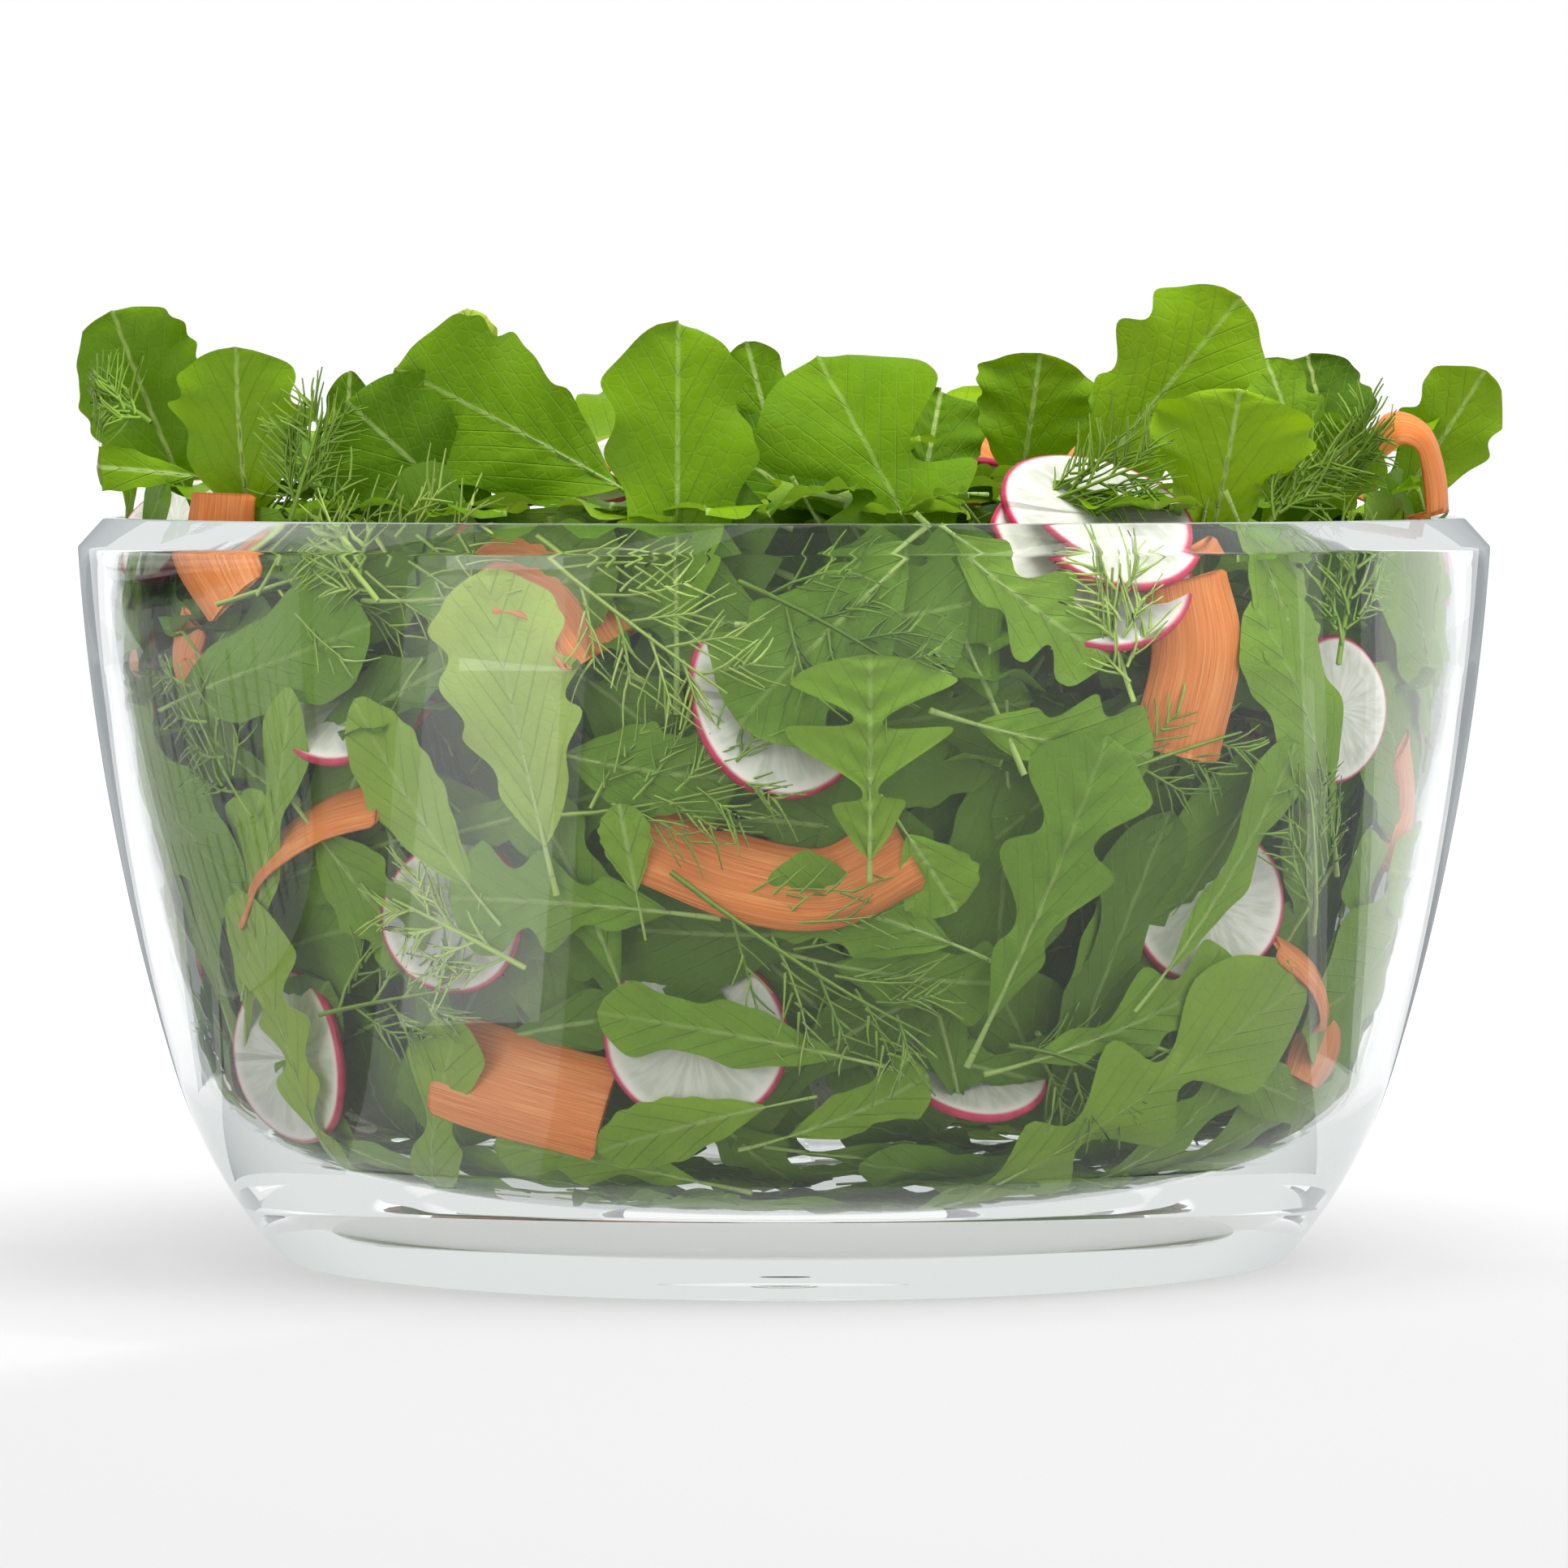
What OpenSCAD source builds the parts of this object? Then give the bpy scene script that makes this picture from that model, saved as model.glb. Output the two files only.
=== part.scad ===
// Pump-top salad spinner in millimetres, +Z up.
// The origin is the middle of the glass bowl's base, on the worktop. The bowl stands open. Beside it,
// at -X, stands the basket with the lid seated on it, so that the whole product is there and the bowl
// is free to serve.

/* [Glass bowl] */
// Widest radius, at the foot of the rim's bevel
rim_r = 135.6; // [118:0.2:162]
// Height of the bowl
bowl_h = 142; // [119:1:172]
// How far the foot stands inside the widest radius
foot_inset = 38.6; // [32:0.2:46]
// How far the shoulder, where wall and heel meet, stands inside the widest radius
shoulder_inset = 18.3; // [14:0.1:24]
// Height of the shoulder
shoulder_z = 36; // [28:1:48]
// Bow of the wall between shoulder and rim
wall_bow = 3; // [1:0.1:6]
// Thickness of the wall
wall_t = 4.6; // [3.6:0.1:6]
// Thickness of the floor
floor_t = 8; // [6:0.5:12]
// Width of the bevel round the rim
bevel_w = 5; // [3:0.2:5.6]
// Height of the bevel round the rim
bevel_h = 5.6; // [3:0.2:8]
// Width of the rim's flat top
rim_flat = 1.4; // [1:0.1:2.4]
// Radius of the curve between the inner wall and the floor
heel_in_r = 40; // [28:1:48]
// Radius of the pivot nub in the middle of the floor
nub_r = 5; // [4:0.1:6]
// Height of the pivot nub
nub_h = 11; // [9.2:0.1:13.2]

/* [Basket] */
// Clear space between the basket and the glass
basket_clear = 5.5; // [4:0.1:7]
// Clear space between the basket's foot ring and the glass floor
basket_gap = 3; // [2:0.1:4]
// Thickness of the basket's wall
basket_t = 2.2; // [1.8:0.1:2.8]
// Radius of the middle of the foot ring
foot_ring_r = 58; // [45:1:66]
// Number of slots round the wall
wall_slots = 36; // [24:1:44]
// Width of a slot
slot_w = 3.2; // [2.4:0.1:3.9]
// Height of the rim band
band_h = 7; // [6:0.5:9]
// Depth of the notches that the drive plate's lugs drop into
notch_d = 4.1; // [3:0.1:5]
// Outer radius of the pivot cup
cup_r = 8; // [7:0.1:9.6]

/* [Lid] */
// How far the lid's edge stands inside the bowl's widest radius
lid_inset = 1.6; // [0.5:0.1:3]
// Thickness of the lid's edge
edge_t = 2.6; // [2:0.1:3.2]
// Thickness of the clear shell
shell_t = 2.2; // [1.8:0.1:2.6]
// Thickness of the lower shell
plate_t = 2.2; // [1.8:0.1:2.8]
// Depth that the lower shell plugs into the bowl
plug_d = 7; // [6:0.5:9]
// Clear space between the plug and the bowl
plug_clear = 0.6; // [0.4:0.1:1]
// Height of the dome's top above the lid's seat
dome_rise = 17.4; // [16:0.1:20]
// Bow of the dome
dome_bow = 4; // [2:0.2:6]
// Height of the seal ring's section
seal_h = 3; // [2.4:0.1:3.6]
// Squeeze of the seal against the glass
seal_squeeze = 0.3; // [0.2:0.1:0.5]
// Radius of the ring of lid screws
lid_screw_ring = 116; // [104:1:120]

/* [Pump] */
// Travel of the knob
stroke = 30; // [24:0.5:36]
// Rise of the screw's thread in one turn
lead = 60; // [48:1:72]
// Outer radius of the knob's skirt
skirt_r = 24; // [22:0.1:28.8]
// Thickness of the knob's skirt
skirt_t = 2.4; // [2:0.1:3]
// Reach of the knob's catch lip past the skirt
lip_w = 3; // [2:0.1:3.4]
// Height of the soft grip on the knob
grip_h = 5; // [4:0.1:7]
// Outer radius of the plunger tube
plunger_r = 12.5; // [11.5:0.1:13]
// Outer radius of the screw's ribs
rib_r = 8; // [7.4:0.1:8.4]
// Radius of the screw's core
core_r = 5.5; // [5:0.1:6]
// Height of the drive nut
nut_h = 7; // [6:0.5:9]
// Thickness of the fixed housing's wall
housing_t = 2.5; // [2:0.1:3]

/* [Drive plate and clutch] */
// Clear space between the lower shell and the drive plate
disc_gap = 6; // [5:0.1:7]
// Thickness of the drive plate
disc_t = 2.2; // [1.8:0.1:2.8]
// Number of lugs that drive the basket
lugs = 12; // [8:1:16]
// Width of a lug
lug_w = 7.2; // [6:0.2:9]
// Number of teeth of the ratchet ring, a multiple of three
teeth = 24; // [18:3:30]
// Inner radius of the ratchet ring, at the tips of its teeth
tooth_tip_r = 22.5; // [19:0.1:24]
// Thickness of the pawls
pawl_t = 3.8; // [3:0.1:4]

/* [Brake and lock] */
// Distance of the brake from the knob's middle
brake_ring = 74; // [68:1:84]
// Direction of the brake, in degrees
brake_a = -60; // [-180:5:180]
// Outer radius of the brake button
brake_r = 11; // [10:0.2:13]
// Height of the brake button above its seat in the shell
brake_rise = 6.6; // [6:0.1:8]
// Direction of the knob's lock, in degrees
lock_a = 150; // [-180:5:180]
// Travel of the lock's slider
lock_travel = 4; // [3.4:0.1:4.4]
// Width of the lock's slider
lock_w = 15; // [12:0.5:18]

/* [Fits] */
// Running clearance of shafts in bores, on the radius
run_clear = 0.06; // [0.03:0.01:0.1]
// Clear space round pieces that slide freely
slide_clear = 0.3; // [0.2:0.05:0.5]
// Clear space round screws
screw_clear = 0.05; // [0.03:0.01:0.1]
// Width of the gap between the bowl and the lid beside it
stand_gap = 50; // [30:1:80]

/* [Hidden] */
$fn = 96;
eps = 0.01;

// Points along an arc about c
function arc(c, r, a1, a2, n) =
    [for (i = [0:n]) let (a = a1 + (a2 - a1) * i / n) c + r * [cos(a), sin(a)]];
// Direction from c to p
function dir(c, p) = atan2(p[1] - c[1], p[0] - c[0]);

// Bowl: the wall is one arc from the shoulder to the bevel's foot, the heel is the arc that carries it on
// smoothly to the foot, and the inner wall runs parallel to the outer one
bevel_foot = [rim_r, bowl_h - bevel_h];
shoulder = [rim_r - shoulder_inset, shoulder_z];
foot = [rim_r - foot_inset, 0];
chord = bevel_foot - shoulder;
wall_arc_r = (chord * chord / 4 + wall_bow * wall_bow) / (2 * wall_bow);
wall_c = (bevel_foot + shoulder) / 2
    + [chord[1], -chord[0]] / norm(chord) * (wall_bow - wall_arc_r);
heel_dir = (wall_c - shoulder) / wall_arc_r;
heel_out_r = (foot - shoulder) * (foot - shoulder) / (2 * heel_dir * (foot - shoulder));
heel_out_c = shoulder + heel_out_r * heel_dir;
inner_arc_r = wall_arc_r - wall_t;
rim_in_r = rim_r - bevel_w - rim_flat;
heel_in_z = floor_t + heel_in_r;
heel_in_c = [wall_c[0] + sqrt(pow(inner_arc_r - heel_in_r, 2) - pow(heel_in_z - wall_c[1], 2)), heel_in_z];
heel_a = dir(wall_c, heel_in_c);
wall_n = 14;
heel_n = 10;

// The basket and lid stand this much lower than they sit in the bowl
lug_gap = 0.4;
seat_lift = floor_t + basket_gap;
lid_z = bowl_h - seat_lift - lug_gap;
lid_r = rim_r - lid_inset;
unit_x = -(rim_r + stand_gap + lid_r);

// Lid
plug_r = rim_in_r - plug_clear;
plate_z = lid_z - plug_d;
plate_top = plate_z + plate_t;
dome_foot_r = plug_r - 2.6;
dome_top_r = skirt_r + 8;
dome_top_z = lid_z + dome_rise;
seal_in_r = plug_r - 1.6;
seal_out_r = rim_in_r + seal_squeeze;
seal_z = lid_z - seal_h - 1.8;

// Pump: heights from the fixed collar down to the housing's floor, and up to the knob's top
collar_top = lid_z + 15.4;
guide_min = 8;
skirt_z = collar_top - guide_min;
floor_gap = 2;
housing_floor_t = 2.6;
housing_floor = skirt_z - stroke - floor_gap;
housing_z = housing_floor - housing_floor_t;
bore_r = skirt_r + run_clear;
housing_r = bore_r + housing_t;
flange_r = skirt_r + 14;
flange_t = 3;
bush_flange_t = 1;
washer_t = 0.8;
collar_t = 1.6;
ribs_z = housing_floor + bush_flange_t + washer_t + collar_t;
nut_z = ribs_z + 0.6 + stroke;
screw_top = nut_z + nut_h;
ceiling_z = screw_top + 1.2 + stroke;
knob_top_t = 3;
lip_z = collar_top + 0.6 + stroke;
lip_h = 3;
tongue_z = lip_z + lip_h - stroke + 0.4;
tongue_t = 2.4;
lip_r = skirt_r + lip_w;
trim_in_r = lip_r + 0.5;
trim_skirt_r = dome_top_r - 1.1;
journal_r = 5;

// Drive plate and clutch
disc_z = plate_z - disc_gap - disc_t;
lug_h = 3;
lug_z = disc_z - lug_h;
basket_top = lug_z + notch_d;
hub_t = 2.4;
pawl_deck = housing_z - 1 - 6.4;
hub_floor_top = pawl_deck - 0.6;
hub_floor_t = 2.6;
hub_z = hub_floor_top - hub_floor_t;
tooth_root_r = tooth_tip_r + 2.5;
// The hub encloses both the housing and the ratchet ring
hub_in_r = max(housing_r + 1.8, tooth_root_r + 3.3);
ring_h = 6;
deck_t = 1.4;
pawl_pin_r = 1.3;
pawl_pivot_r = tooth_tip_r - 3;
pawl_len = 14;
pawl_boss_r = 2.6;
// The pawl's tip lies where its length reaches the tip radius, just inside the teeth's roots
tip_r = tooth_root_r - 0.5;
tip_a = acos((pow(pawl_pivot_r, 2) + pow(tip_r, 2) - pow(pawl_len, 2)) / (2 * pawl_pivot_r * tip_r));
pawl_a = dir([pawl_pivot_r, 0], tip_r * [cos(tip_a), sin(tip_a)]);
tooth_a = tip_a + 0.5;
tooth_slant = 4.6;
axle_r = 3;
axle_washer_t = 1;
axle_head_h = 2.8;

// Basket, in the same heights
basket_c = wall_c - [0, seat_lift];
basket_heel_c = heel_in_c - [0, seat_lift];
function wall_r_at(k, z) =
    basket_c[0] + sqrt(pow(inner_arc_r - k, 2) - pow(z - basket_c[1], 2));
basket_floor = basket_heel_c[1] - (heel_in_r - basket_clear);
basket_in = basket_clear + basket_t;
band_out_r = wall_r_at(basket_clear, basket_top) + 1.2;
band_in_r = wall_r_at(basket_in, basket_top - band_h);
disc_r = band_in_r - 1.4;
lug_out_r = band_out_r - 0.5;
pivot_top = nub_h - basket_gap;
cup_top = pivot_top + 2.4;

// Brake and lock
brake_pocket = 4;
brake_ceiling = plate_z + brake_pocket;
pad_h = 4.6;
pad_r = 8;
stem_r = 4;
sleeve_r = 6.2;
pocket_roof_t = 2;
brake_left = 0.2;
brake_travel = brake_ceiling - pad_h - (disc_z + disc_t) - brake_left;
dome_chord = [dome_top_r, dome_top_z] - [dome_foot_r, lid_z + edge_t];
dome_arc_r = (dome_chord * dome_chord / 4 + dome_bow * dome_bow) / (2 * dome_bow);
dome_c = ([dome_top_r, dome_top_z] + [dome_foot_r, lid_z + edge_t]) / 2
    + [-dome_chord[1], dome_chord[0]] / norm(dome_chord) * (dome_arc_r - dome_bow);
function dome_z_at(r) = dome_c[1] + sqrt(pow(dome_arc_r, 2) - pow(r - dome_c[0], 2));
button_seat = dome_z_at(brake_ring);
button_top = button_seat + brake_rise;
button_z = button_top - 10.4;
cap_t = 2.6;
platform_top = tongue_z - 0.2;
platform_z = platform_top - 5.3;
tongue_tip = lip_r + 1.6;
platform_r1 = dome_top_r + 2.6;
platform_r2 = platform_r1 + 22.5;
lock_stem_r = platform_r1 + 10.4;
lock_clip_t = 1.4;

// A ring or a washer
module ring(r_in, r_out, z, h) {
    translate([0, 0, z]) difference() {
        cylinder(r = r_out, h = h);
        translate([0, 0, -1]) cylinder(r = r_in, h = h + 2);
    }
}

// Places its children on the axis of the basket and lid
module at_unit() {
    translate([unit_x, 0, 0]) children();
}

// Places its children n times round the axis
module around(n, r, a0 = 0) {
    for (i = [0:n - 1]) rotate([0, 0, a0 + i * 360 / n]) translate([r, 0, 0]) children();
}

// A coil of round wire, as a swept tube
module coil(mean_r, wire_r, z1, z2, turns) {
    per_turn = 20;
    sides = 6;
    n = turns * per_turn;
    points = [for (i = [0:n]) for (j = [0:sides - 1])
        let (a = 360 * i / per_turn, b = 360 * j / sides,
             r = mean_r + wire_r * cos(b),
             z = z1 + wire_r + (z2 - z1 - 2 * wire_r) * i / n + wire_r * sin(b))
        [r * cos(a), r * sin(a), z]];
    skin = [for (i = [0:n - 1]) for (j = [0:sides - 1])
        let (k = (j + 1) % sides)
        [i * sides + j, i * sides + k, (i + 1) * sides + k, (i + 1) * sides + j]];
    ends = [[for (j = [0:sides - 1]) sides - 1 - j], [for (j = [0:sides - 1]) n * sides + j]];
    polyhedron(points, concat(skin, ends), convexity = 10);
}

// Outline of the screw: a core with three ribs
module screw_outline() {
    circle(r = core_r, $fn = 18);
    for (i = [0:2]) rotate([0, 0, i * 120]) translate([0, -1.4]) square([rib_r, 2.8]);
}

module glass_bowl() {
    inner_top_a = -acos((rim_in_r - wall_c[0]) / inner_arc_r);
    nub_c = [0, floor_t + nub_h - nub_r];
    color("azure", 0.4) rotate_extrude() polygon(concat(
        [[0, 0]],
        arc(heel_out_c, heel_out_r, dir(heel_out_c, foot), dir(heel_out_c, shoulder), heel_n),
        arc(wall_c, wall_arc_r, dir(wall_c, shoulder), dir(wall_c, bevel_foot), wall_n),
        [[rim_r - bevel_w, bowl_h], [rim_in_r, bowl_h]],
        arc(wall_c, inner_arc_r, inner_top_a, heel_a, wall_n),
        arc(heel_in_c, heel_in_r, heel_a, -90, heel_n),
        [[nub_r, floor_t]],
        arc(nub_c, nub_r, 0, 90, 6)
    ));
}

module basket() {
    top_out = asin((basket_top - basket_c[1]) / (inner_arc_r - basket_clear));
    top_in = asin((basket_top - basket_c[1]) / (inner_arc_r - basket_in));
    floor_top = basket_floor + basket_t;
    boss_r = cup_r + 2.6;
    boss_top = cup_top + 2.2;
    tier_1 = [basket_floor + 20, basket_floor + 55];
    tier_2 = [basket_floor + 61, basket_top - band_h - 8];
    at_unit() color("white") difference() {
        union() {
            rotate_extrude() polygon(concat(
                [[0, basket_floor]],
                arc(basket_heel_c, heel_in_r - basket_clear, -90, heel_a, 6),
                arc(basket_c, inner_arc_r - basket_clear, heel_a, top_out, 6),
                arc(basket_c, inner_arc_r - basket_in, top_in, heel_a, 6),
                arc(basket_heel_c, heel_in_r - basket_in, heel_a, -90, 6),
                [[0, floor_top]]
            ));
            rotate_extrude() polygon([
                [band_in_r, basket_top - band_h], [band_out_r - 1.2, basket_top - band_h],
                [band_out_r, basket_top - band_h + 1.4], [band_out_r, basket_top], [band_in_r, basket_top]
            ]);
            ring(foot_ring_r - 1.5, foot_ring_r + 1.5, 0, basket_floor + 1);
            translate([0, 0, basket_floor]) cylinder(r = boss_r, h = boss_top - basket_floor);
        }
        translate([0, 0, basket_floor - 1]) cylinder(r = cup_r, h = cup_top - basket_floor + 1);
        for (tier = [tier_1, tier_2])
            around(wall_slots, band_out_r - 36) translate([0, -slot_w / 2, tier[0]])
                cube([42, slot_w, tier[1] - tier[0]]);
        around(18, 18) translate([0, -slot_w / 2, -1]) cube([foot_ring_r - 24, slot_w, basket_floor + 5]);
        around(36, foot_ring_r + 5) translate([0, -slot_w / 2, -1])
            cube([basket_heel_c[0] - foot_ring_r - 4, slot_w, basket_floor + 5]);
        around(lugs, band_in_r - 4) translate([0, -lug_w / 2 - 0.4, basket_top - notch_d])
            cube([12, lug_w + 0.8, notch_d + 1]);
    }
}

module basket_pivot() {
    at_unit() color("gainsboro") translate([0, 0, basket_floor]) difference() {
        cylinder(r = cup_r, h = cup_top - basket_floor);
        translate([0, 0, -1]) cylinder(r = nub_r + 0.1, h = pivot_top - basket_floor + 1);
    }
}

module lid_shell() {
    chord_a = dir(dome_c, [dome_foot_r, lid_z + edge_t]);
    top_a = dir(dome_c, [dome_top_r, dome_top_z]);
    boss_h = dome_z_at(lid_screw_ring) - plate_top - 0.4;
    at_unit() color("lightcyan", 0.35) difference() {
        union() {
            rotate_extrude() polygon(concat(
                [[dome_foot_r - 1.6, lid_z], [lid_r - 0.8, lid_z], [lid_r, lid_z + 0.8],
                 [lid_r, lid_z + edge_t - 0.8], [lid_r - 0.8, lid_z + edge_t]],
                arc(dome_c, dome_arc_r, chord_a, top_a, 12),
                [[dome_top_r - 1, dome_top_z], [dome_top_r - 1, dome_top_z - shell_t]],
                arc(dome_c, dome_arc_r - shell_t, top_a, chord_a + 1.2, 12)
            ));
            // Bosses for the lid screws
            around(6, lid_screw_ring, 30) translate([0, 0, plate_top]) cylinder(r = 3.6, h = boss_h);
            // Collar round the brake button
            rotate([0, 0, brake_a]) translate([brake_ring, 0, button_seat - 5])
                cylinder(r = brake_r + 2.4, h = 6);
            // Platform and rails of the knob's lock
            rotate([0, 0, lock_a]) translate([platform_r1, -lock_w / 2 - 3, platform_z])
                cube([platform_r2 - platform_r1, lock_w + 6, platform_top - platform_z]);
            rotate([0, 0, lock_a]) for (side = [-1, 1])
                translate([platform_r1, side * (lock_w / 2 + 1.65) - 1.35, platform_top - 1])
                    cube([platform_r2 - platform_r1, 2.7, tongue_t + 1]);
        }
        around(6, lid_screw_ring, 30) translate([0, 0, plate_top - 1])
            cylinder(r = 1.25 + screw_clear, h = 8);
        rotate([0, 0, brake_a]) translate([brake_ring, 0, button_seat - 8])
            cylinder(r = brake_r + slide_clear, h = 20);
        rotate([0, 0, lock_a])
            translate([lock_stem_r - 4 - lock_travel - slide_clear, -2.3, platform_z - 1])
            cube([8 + lock_travel + 2 * slide_clear, 4.6, 9]);
    }
}

module lid_base() {
    at_unit() color("whitesmoke") difference() {
        union() {
            ring(housing_r + 0.2, plug_r, plate_z, plate_t);
            ring(plug_r - 2.2, plug_r, plate_z, plug_d);
            ring(seal_in_r - 1.6, plug_r, plate_z, seal_z + seal_h + 1 - plate_z);
            ring(skirt_r + 6, flange_r, plate_z - 4, 4 + eps);
            rotate([0, 0, brake_a]) translate([brake_ring, 0, plate_z]) {
                cylinder(r = pad_r + 2.4, h = brake_pocket + pocket_roof_t);
                cylinder(r = sleeve_r, h = brake_pocket + pocket_roof_t + 7.6);
            }
            // Stiffening ribs between the screws
            around(12, flange_r + 2, 15) translate([0, -0.8, plate_z])
                cube([dome_foot_r - flange_r - 8, 1.6, 5]);
        }
        ring(seal_in_r, plug_r + 1, seal_z, seal_h);
        around(6, lid_screw_ring, 30) translate([0, 0, plate_z - 1])
            cylinder(r = 1.25 + screw_clear, h = 5);
        around(4, (housing_r + flange_r) / 2 + 0.6, 45) translate([0, 0, plate_z - 5])
            cylinder(r = 1.5 + screw_clear, h = 12);
        rotate([0, 0, brake_a]) translate([brake_ring, 0, plate_z - 1]) {
            cylinder(r = pad_r + 0.6, h = brake_pocket + 1);
            cylinder(r = stem_r + run_clear, h = 30);
        }
    }
}

module lid_seal() {
    lip_x = seal_out_r;
    at_unit() color("darkgray") rotate_extrude() polygon([
        [seal_in_r, seal_z], [plug_r, seal_z], [lip_x, seal_z + seal_h * 0.35],
        [lip_x, seal_z + seal_h * 0.65], [plug_r, seal_z + seal_h], [seal_in_r, seal_z + seal_h]
    ]);
}

module lid_screws() {
    at_unit() color("silver") around(6, lid_screw_ring, 30) {
        translate([0, 0, plate_z - 1.6]) cylinder(r = 2.8, h = 1.6);
        translate([0, 0, plate_z - 1]) cylinder(r = 1.25, h = 8);
    }
}

module mechanism_housing() {
    shoulder_top = dome_top_z - shell_t - 2.8;
    at_unit() color("whitesmoke") difference() {
        union() {
            translate([0, 0, housing_z]) cylinder(r = housing_r, h = collar_top - housing_z);
            translate([0, 0, plate_top]) cylinder(r = flange_r, h = flange_t);
            translate([0, 0, shoulder_top - 3]) cylinder(r = trim_skirt_r, h = 3);
        }
        translate([0, 0, housing_floor]) cylinder(r = bore_r, h = 60);
        translate([0, 0, housing_z - 1]) cylinder(r = journal_r + 3, h = housing_floor_t + 2);
        around(4, (housing_r + flange_r) / 2 + 0.6, 45) translate([0, 0, plate_top - 1])
            cylinder(r = 1.5 + screw_clear, h = 5);
    }
}

module housing_screws() {
    at_unit() color("silver") around(4, (housing_r + flange_r) / 2 + 0.6, 45) {
        translate([0, 0, plate_top + flange_t]) cylinder(r = 2.9, h = 2);
        translate([0, 0, plate_z - 2]) cylinder(r = 1.5, h = plate_t + flange_t + 3);
    }
}

module trim_ring() {
    shoulder_top = dome_top_z - shell_t - 2.8;
    at_unit() color("dimgray") {
        ring(trim_in_r, trim_skirt_r, shoulder_top, tongue_z - 0.2 - shoulder_top);
        ring(trim_skirt_r - 0.4, dome_top_r + 1.6, dome_top_z, tongue_z - 0.2 - dome_top_z);
    }
}

module screw_bush() {
    at_unit() color("ivory") difference() {
        union() {
            translate([0, 0, housing_z]) cylinder(r = journal_r + 3, h = housing_floor_t);
            translate([0, 0, housing_floor]) cylinder(r = journal_r + 5, h = bush_flange_t);
        }
        translate([0, 0, housing_z - 1]) cylinder(r = journal_r + run_clear, h = 10);
    }
}

module thrust_washer() {
    at_unit() color("lightsteelblue")
        ring(journal_r + 0.2, journal_r + 4.5, housing_floor + bush_flange_t, washer_t);
}

module drive_screw() {
    rib_len = screw_top - ribs_z;
    at_unit() color("ivory") difference() {
        union() {
            translate([0, 0, pawl_deck]) cylinder(r = journal_r - 0.1, h = 6.4, $fn = 6);
            translate([0, 0, pawl_deck + 6.4])
                cylinder(r = journal_r, h = ribs_z - collar_t - pawl_deck - 6.4);
            translate([0, 0, ribs_z - collar_t]) cylinder(r = journal_r + 3.5, h = collar_t);
            translate([0, 0, ribs_z - eps])
                linear_extrude(height = rib_len + eps, twist = -360 * rib_len / lead, slices = 18)
                    screw_outline();
        }
        translate([0, 0, pawl_deck - 1]) cylinder(r = 2, h = 10);
    }
}

module pawl_carrier() {
    at_unit() color("silver") difference() {
        union() {
            translate([0, 0, pawl_deck]) cylinder(r = tooth_tip_r - 0.7, h = deck_t);
            translate([0, 0, pawl_deck]) cylinder(r = journal_r + 3.5, h = 6.4);
            around(3, pawl_pivot_r) translate([0, 0, pawl_deck]) cylinder(r = pawl_pin_r, h = 6.4);
        }
        translate([0, 0, pawl_deck - 1]) cylinder(r = journal_r, h = 9, $fn = 6);
    }
}

// One pawl: a boss on its pin, and an arm whose end face lies square to the line from the pin to the tip
module pawl(i) {
    pin = [pawl_pivot_r, 0];
    tip = tip_r * [cos(tip_a), sin(tip_a)];
    across = [cos(pawl_a + 90), sin(pawl_a + 90)];
    elbow = (tooth_tip_r - 0.7) * [cos(tip_a - 12.72), sin(tip_a - 12.72)];
    at_unit() color("dimgray") rotate([0, 0, i * 120])
        translate([0, 0, pawl_deck + deck_t + 0.2]) linear_extrude(height = pawl_t) difference() {
            union() {
                translate(pin) circle(r = pawl_boss_r);
                polygon([
                    pin - pawl_boss_r * across, elbow,
                    (tip_r - 0.7) * [cos(tip_a - 2.6), sin(tip_a - 2.6)], tip,
                    tip + 3.4 * across, pin + pawl_boss_r * across
                ]);
            }
            translate(pin) circle(r = pawl_pin_r + 0.05);
        }
}

module pawl_1() { pawl(0); }
module pawl_2() { pawl(1); }
module pawl_3() { pawl(2); }

// A small torsion spring on each pin, above the pawl
module pawl_springs() {
    z = pawl_deck + deck_t + 0.2 + pawl_t + 0.1;
    at_unit() color("lightsteelblue") around(3, pawl_pivot_r) {
        ring(pawl_pin_r + 0.15, pawl_pin_r + 0.85, z, 0.6);
        rotate([0, 0, pawl_a]) translate([pawl_pin_r + 0.5, -0.25, z]) cube([6, 0.5, 0.5]);
        rotate([0, 0, 150]) translate([pawl_pin_r + 0.5, -0.25, z]) cube([6, 0.5, 0.5]);
    }
}

module ratchet_ring() {
    pitch = 360 / teeth;
    at_unit() color("lightgray") translate([0, 0, hub_floor_top])
        linear_extrude(height = ring_h) difference() {
        circle(r = hub_in_r);
        polygon([for (i = [0:teeth - 1]) for (p = [[tooth_root_r, 0], [tooth_tip_r, tooth_slant]])
            let (a = tooth_a + i * pitch + p[1]) p[0] * [cos(a), sin(a)]]);
    }
}

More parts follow.
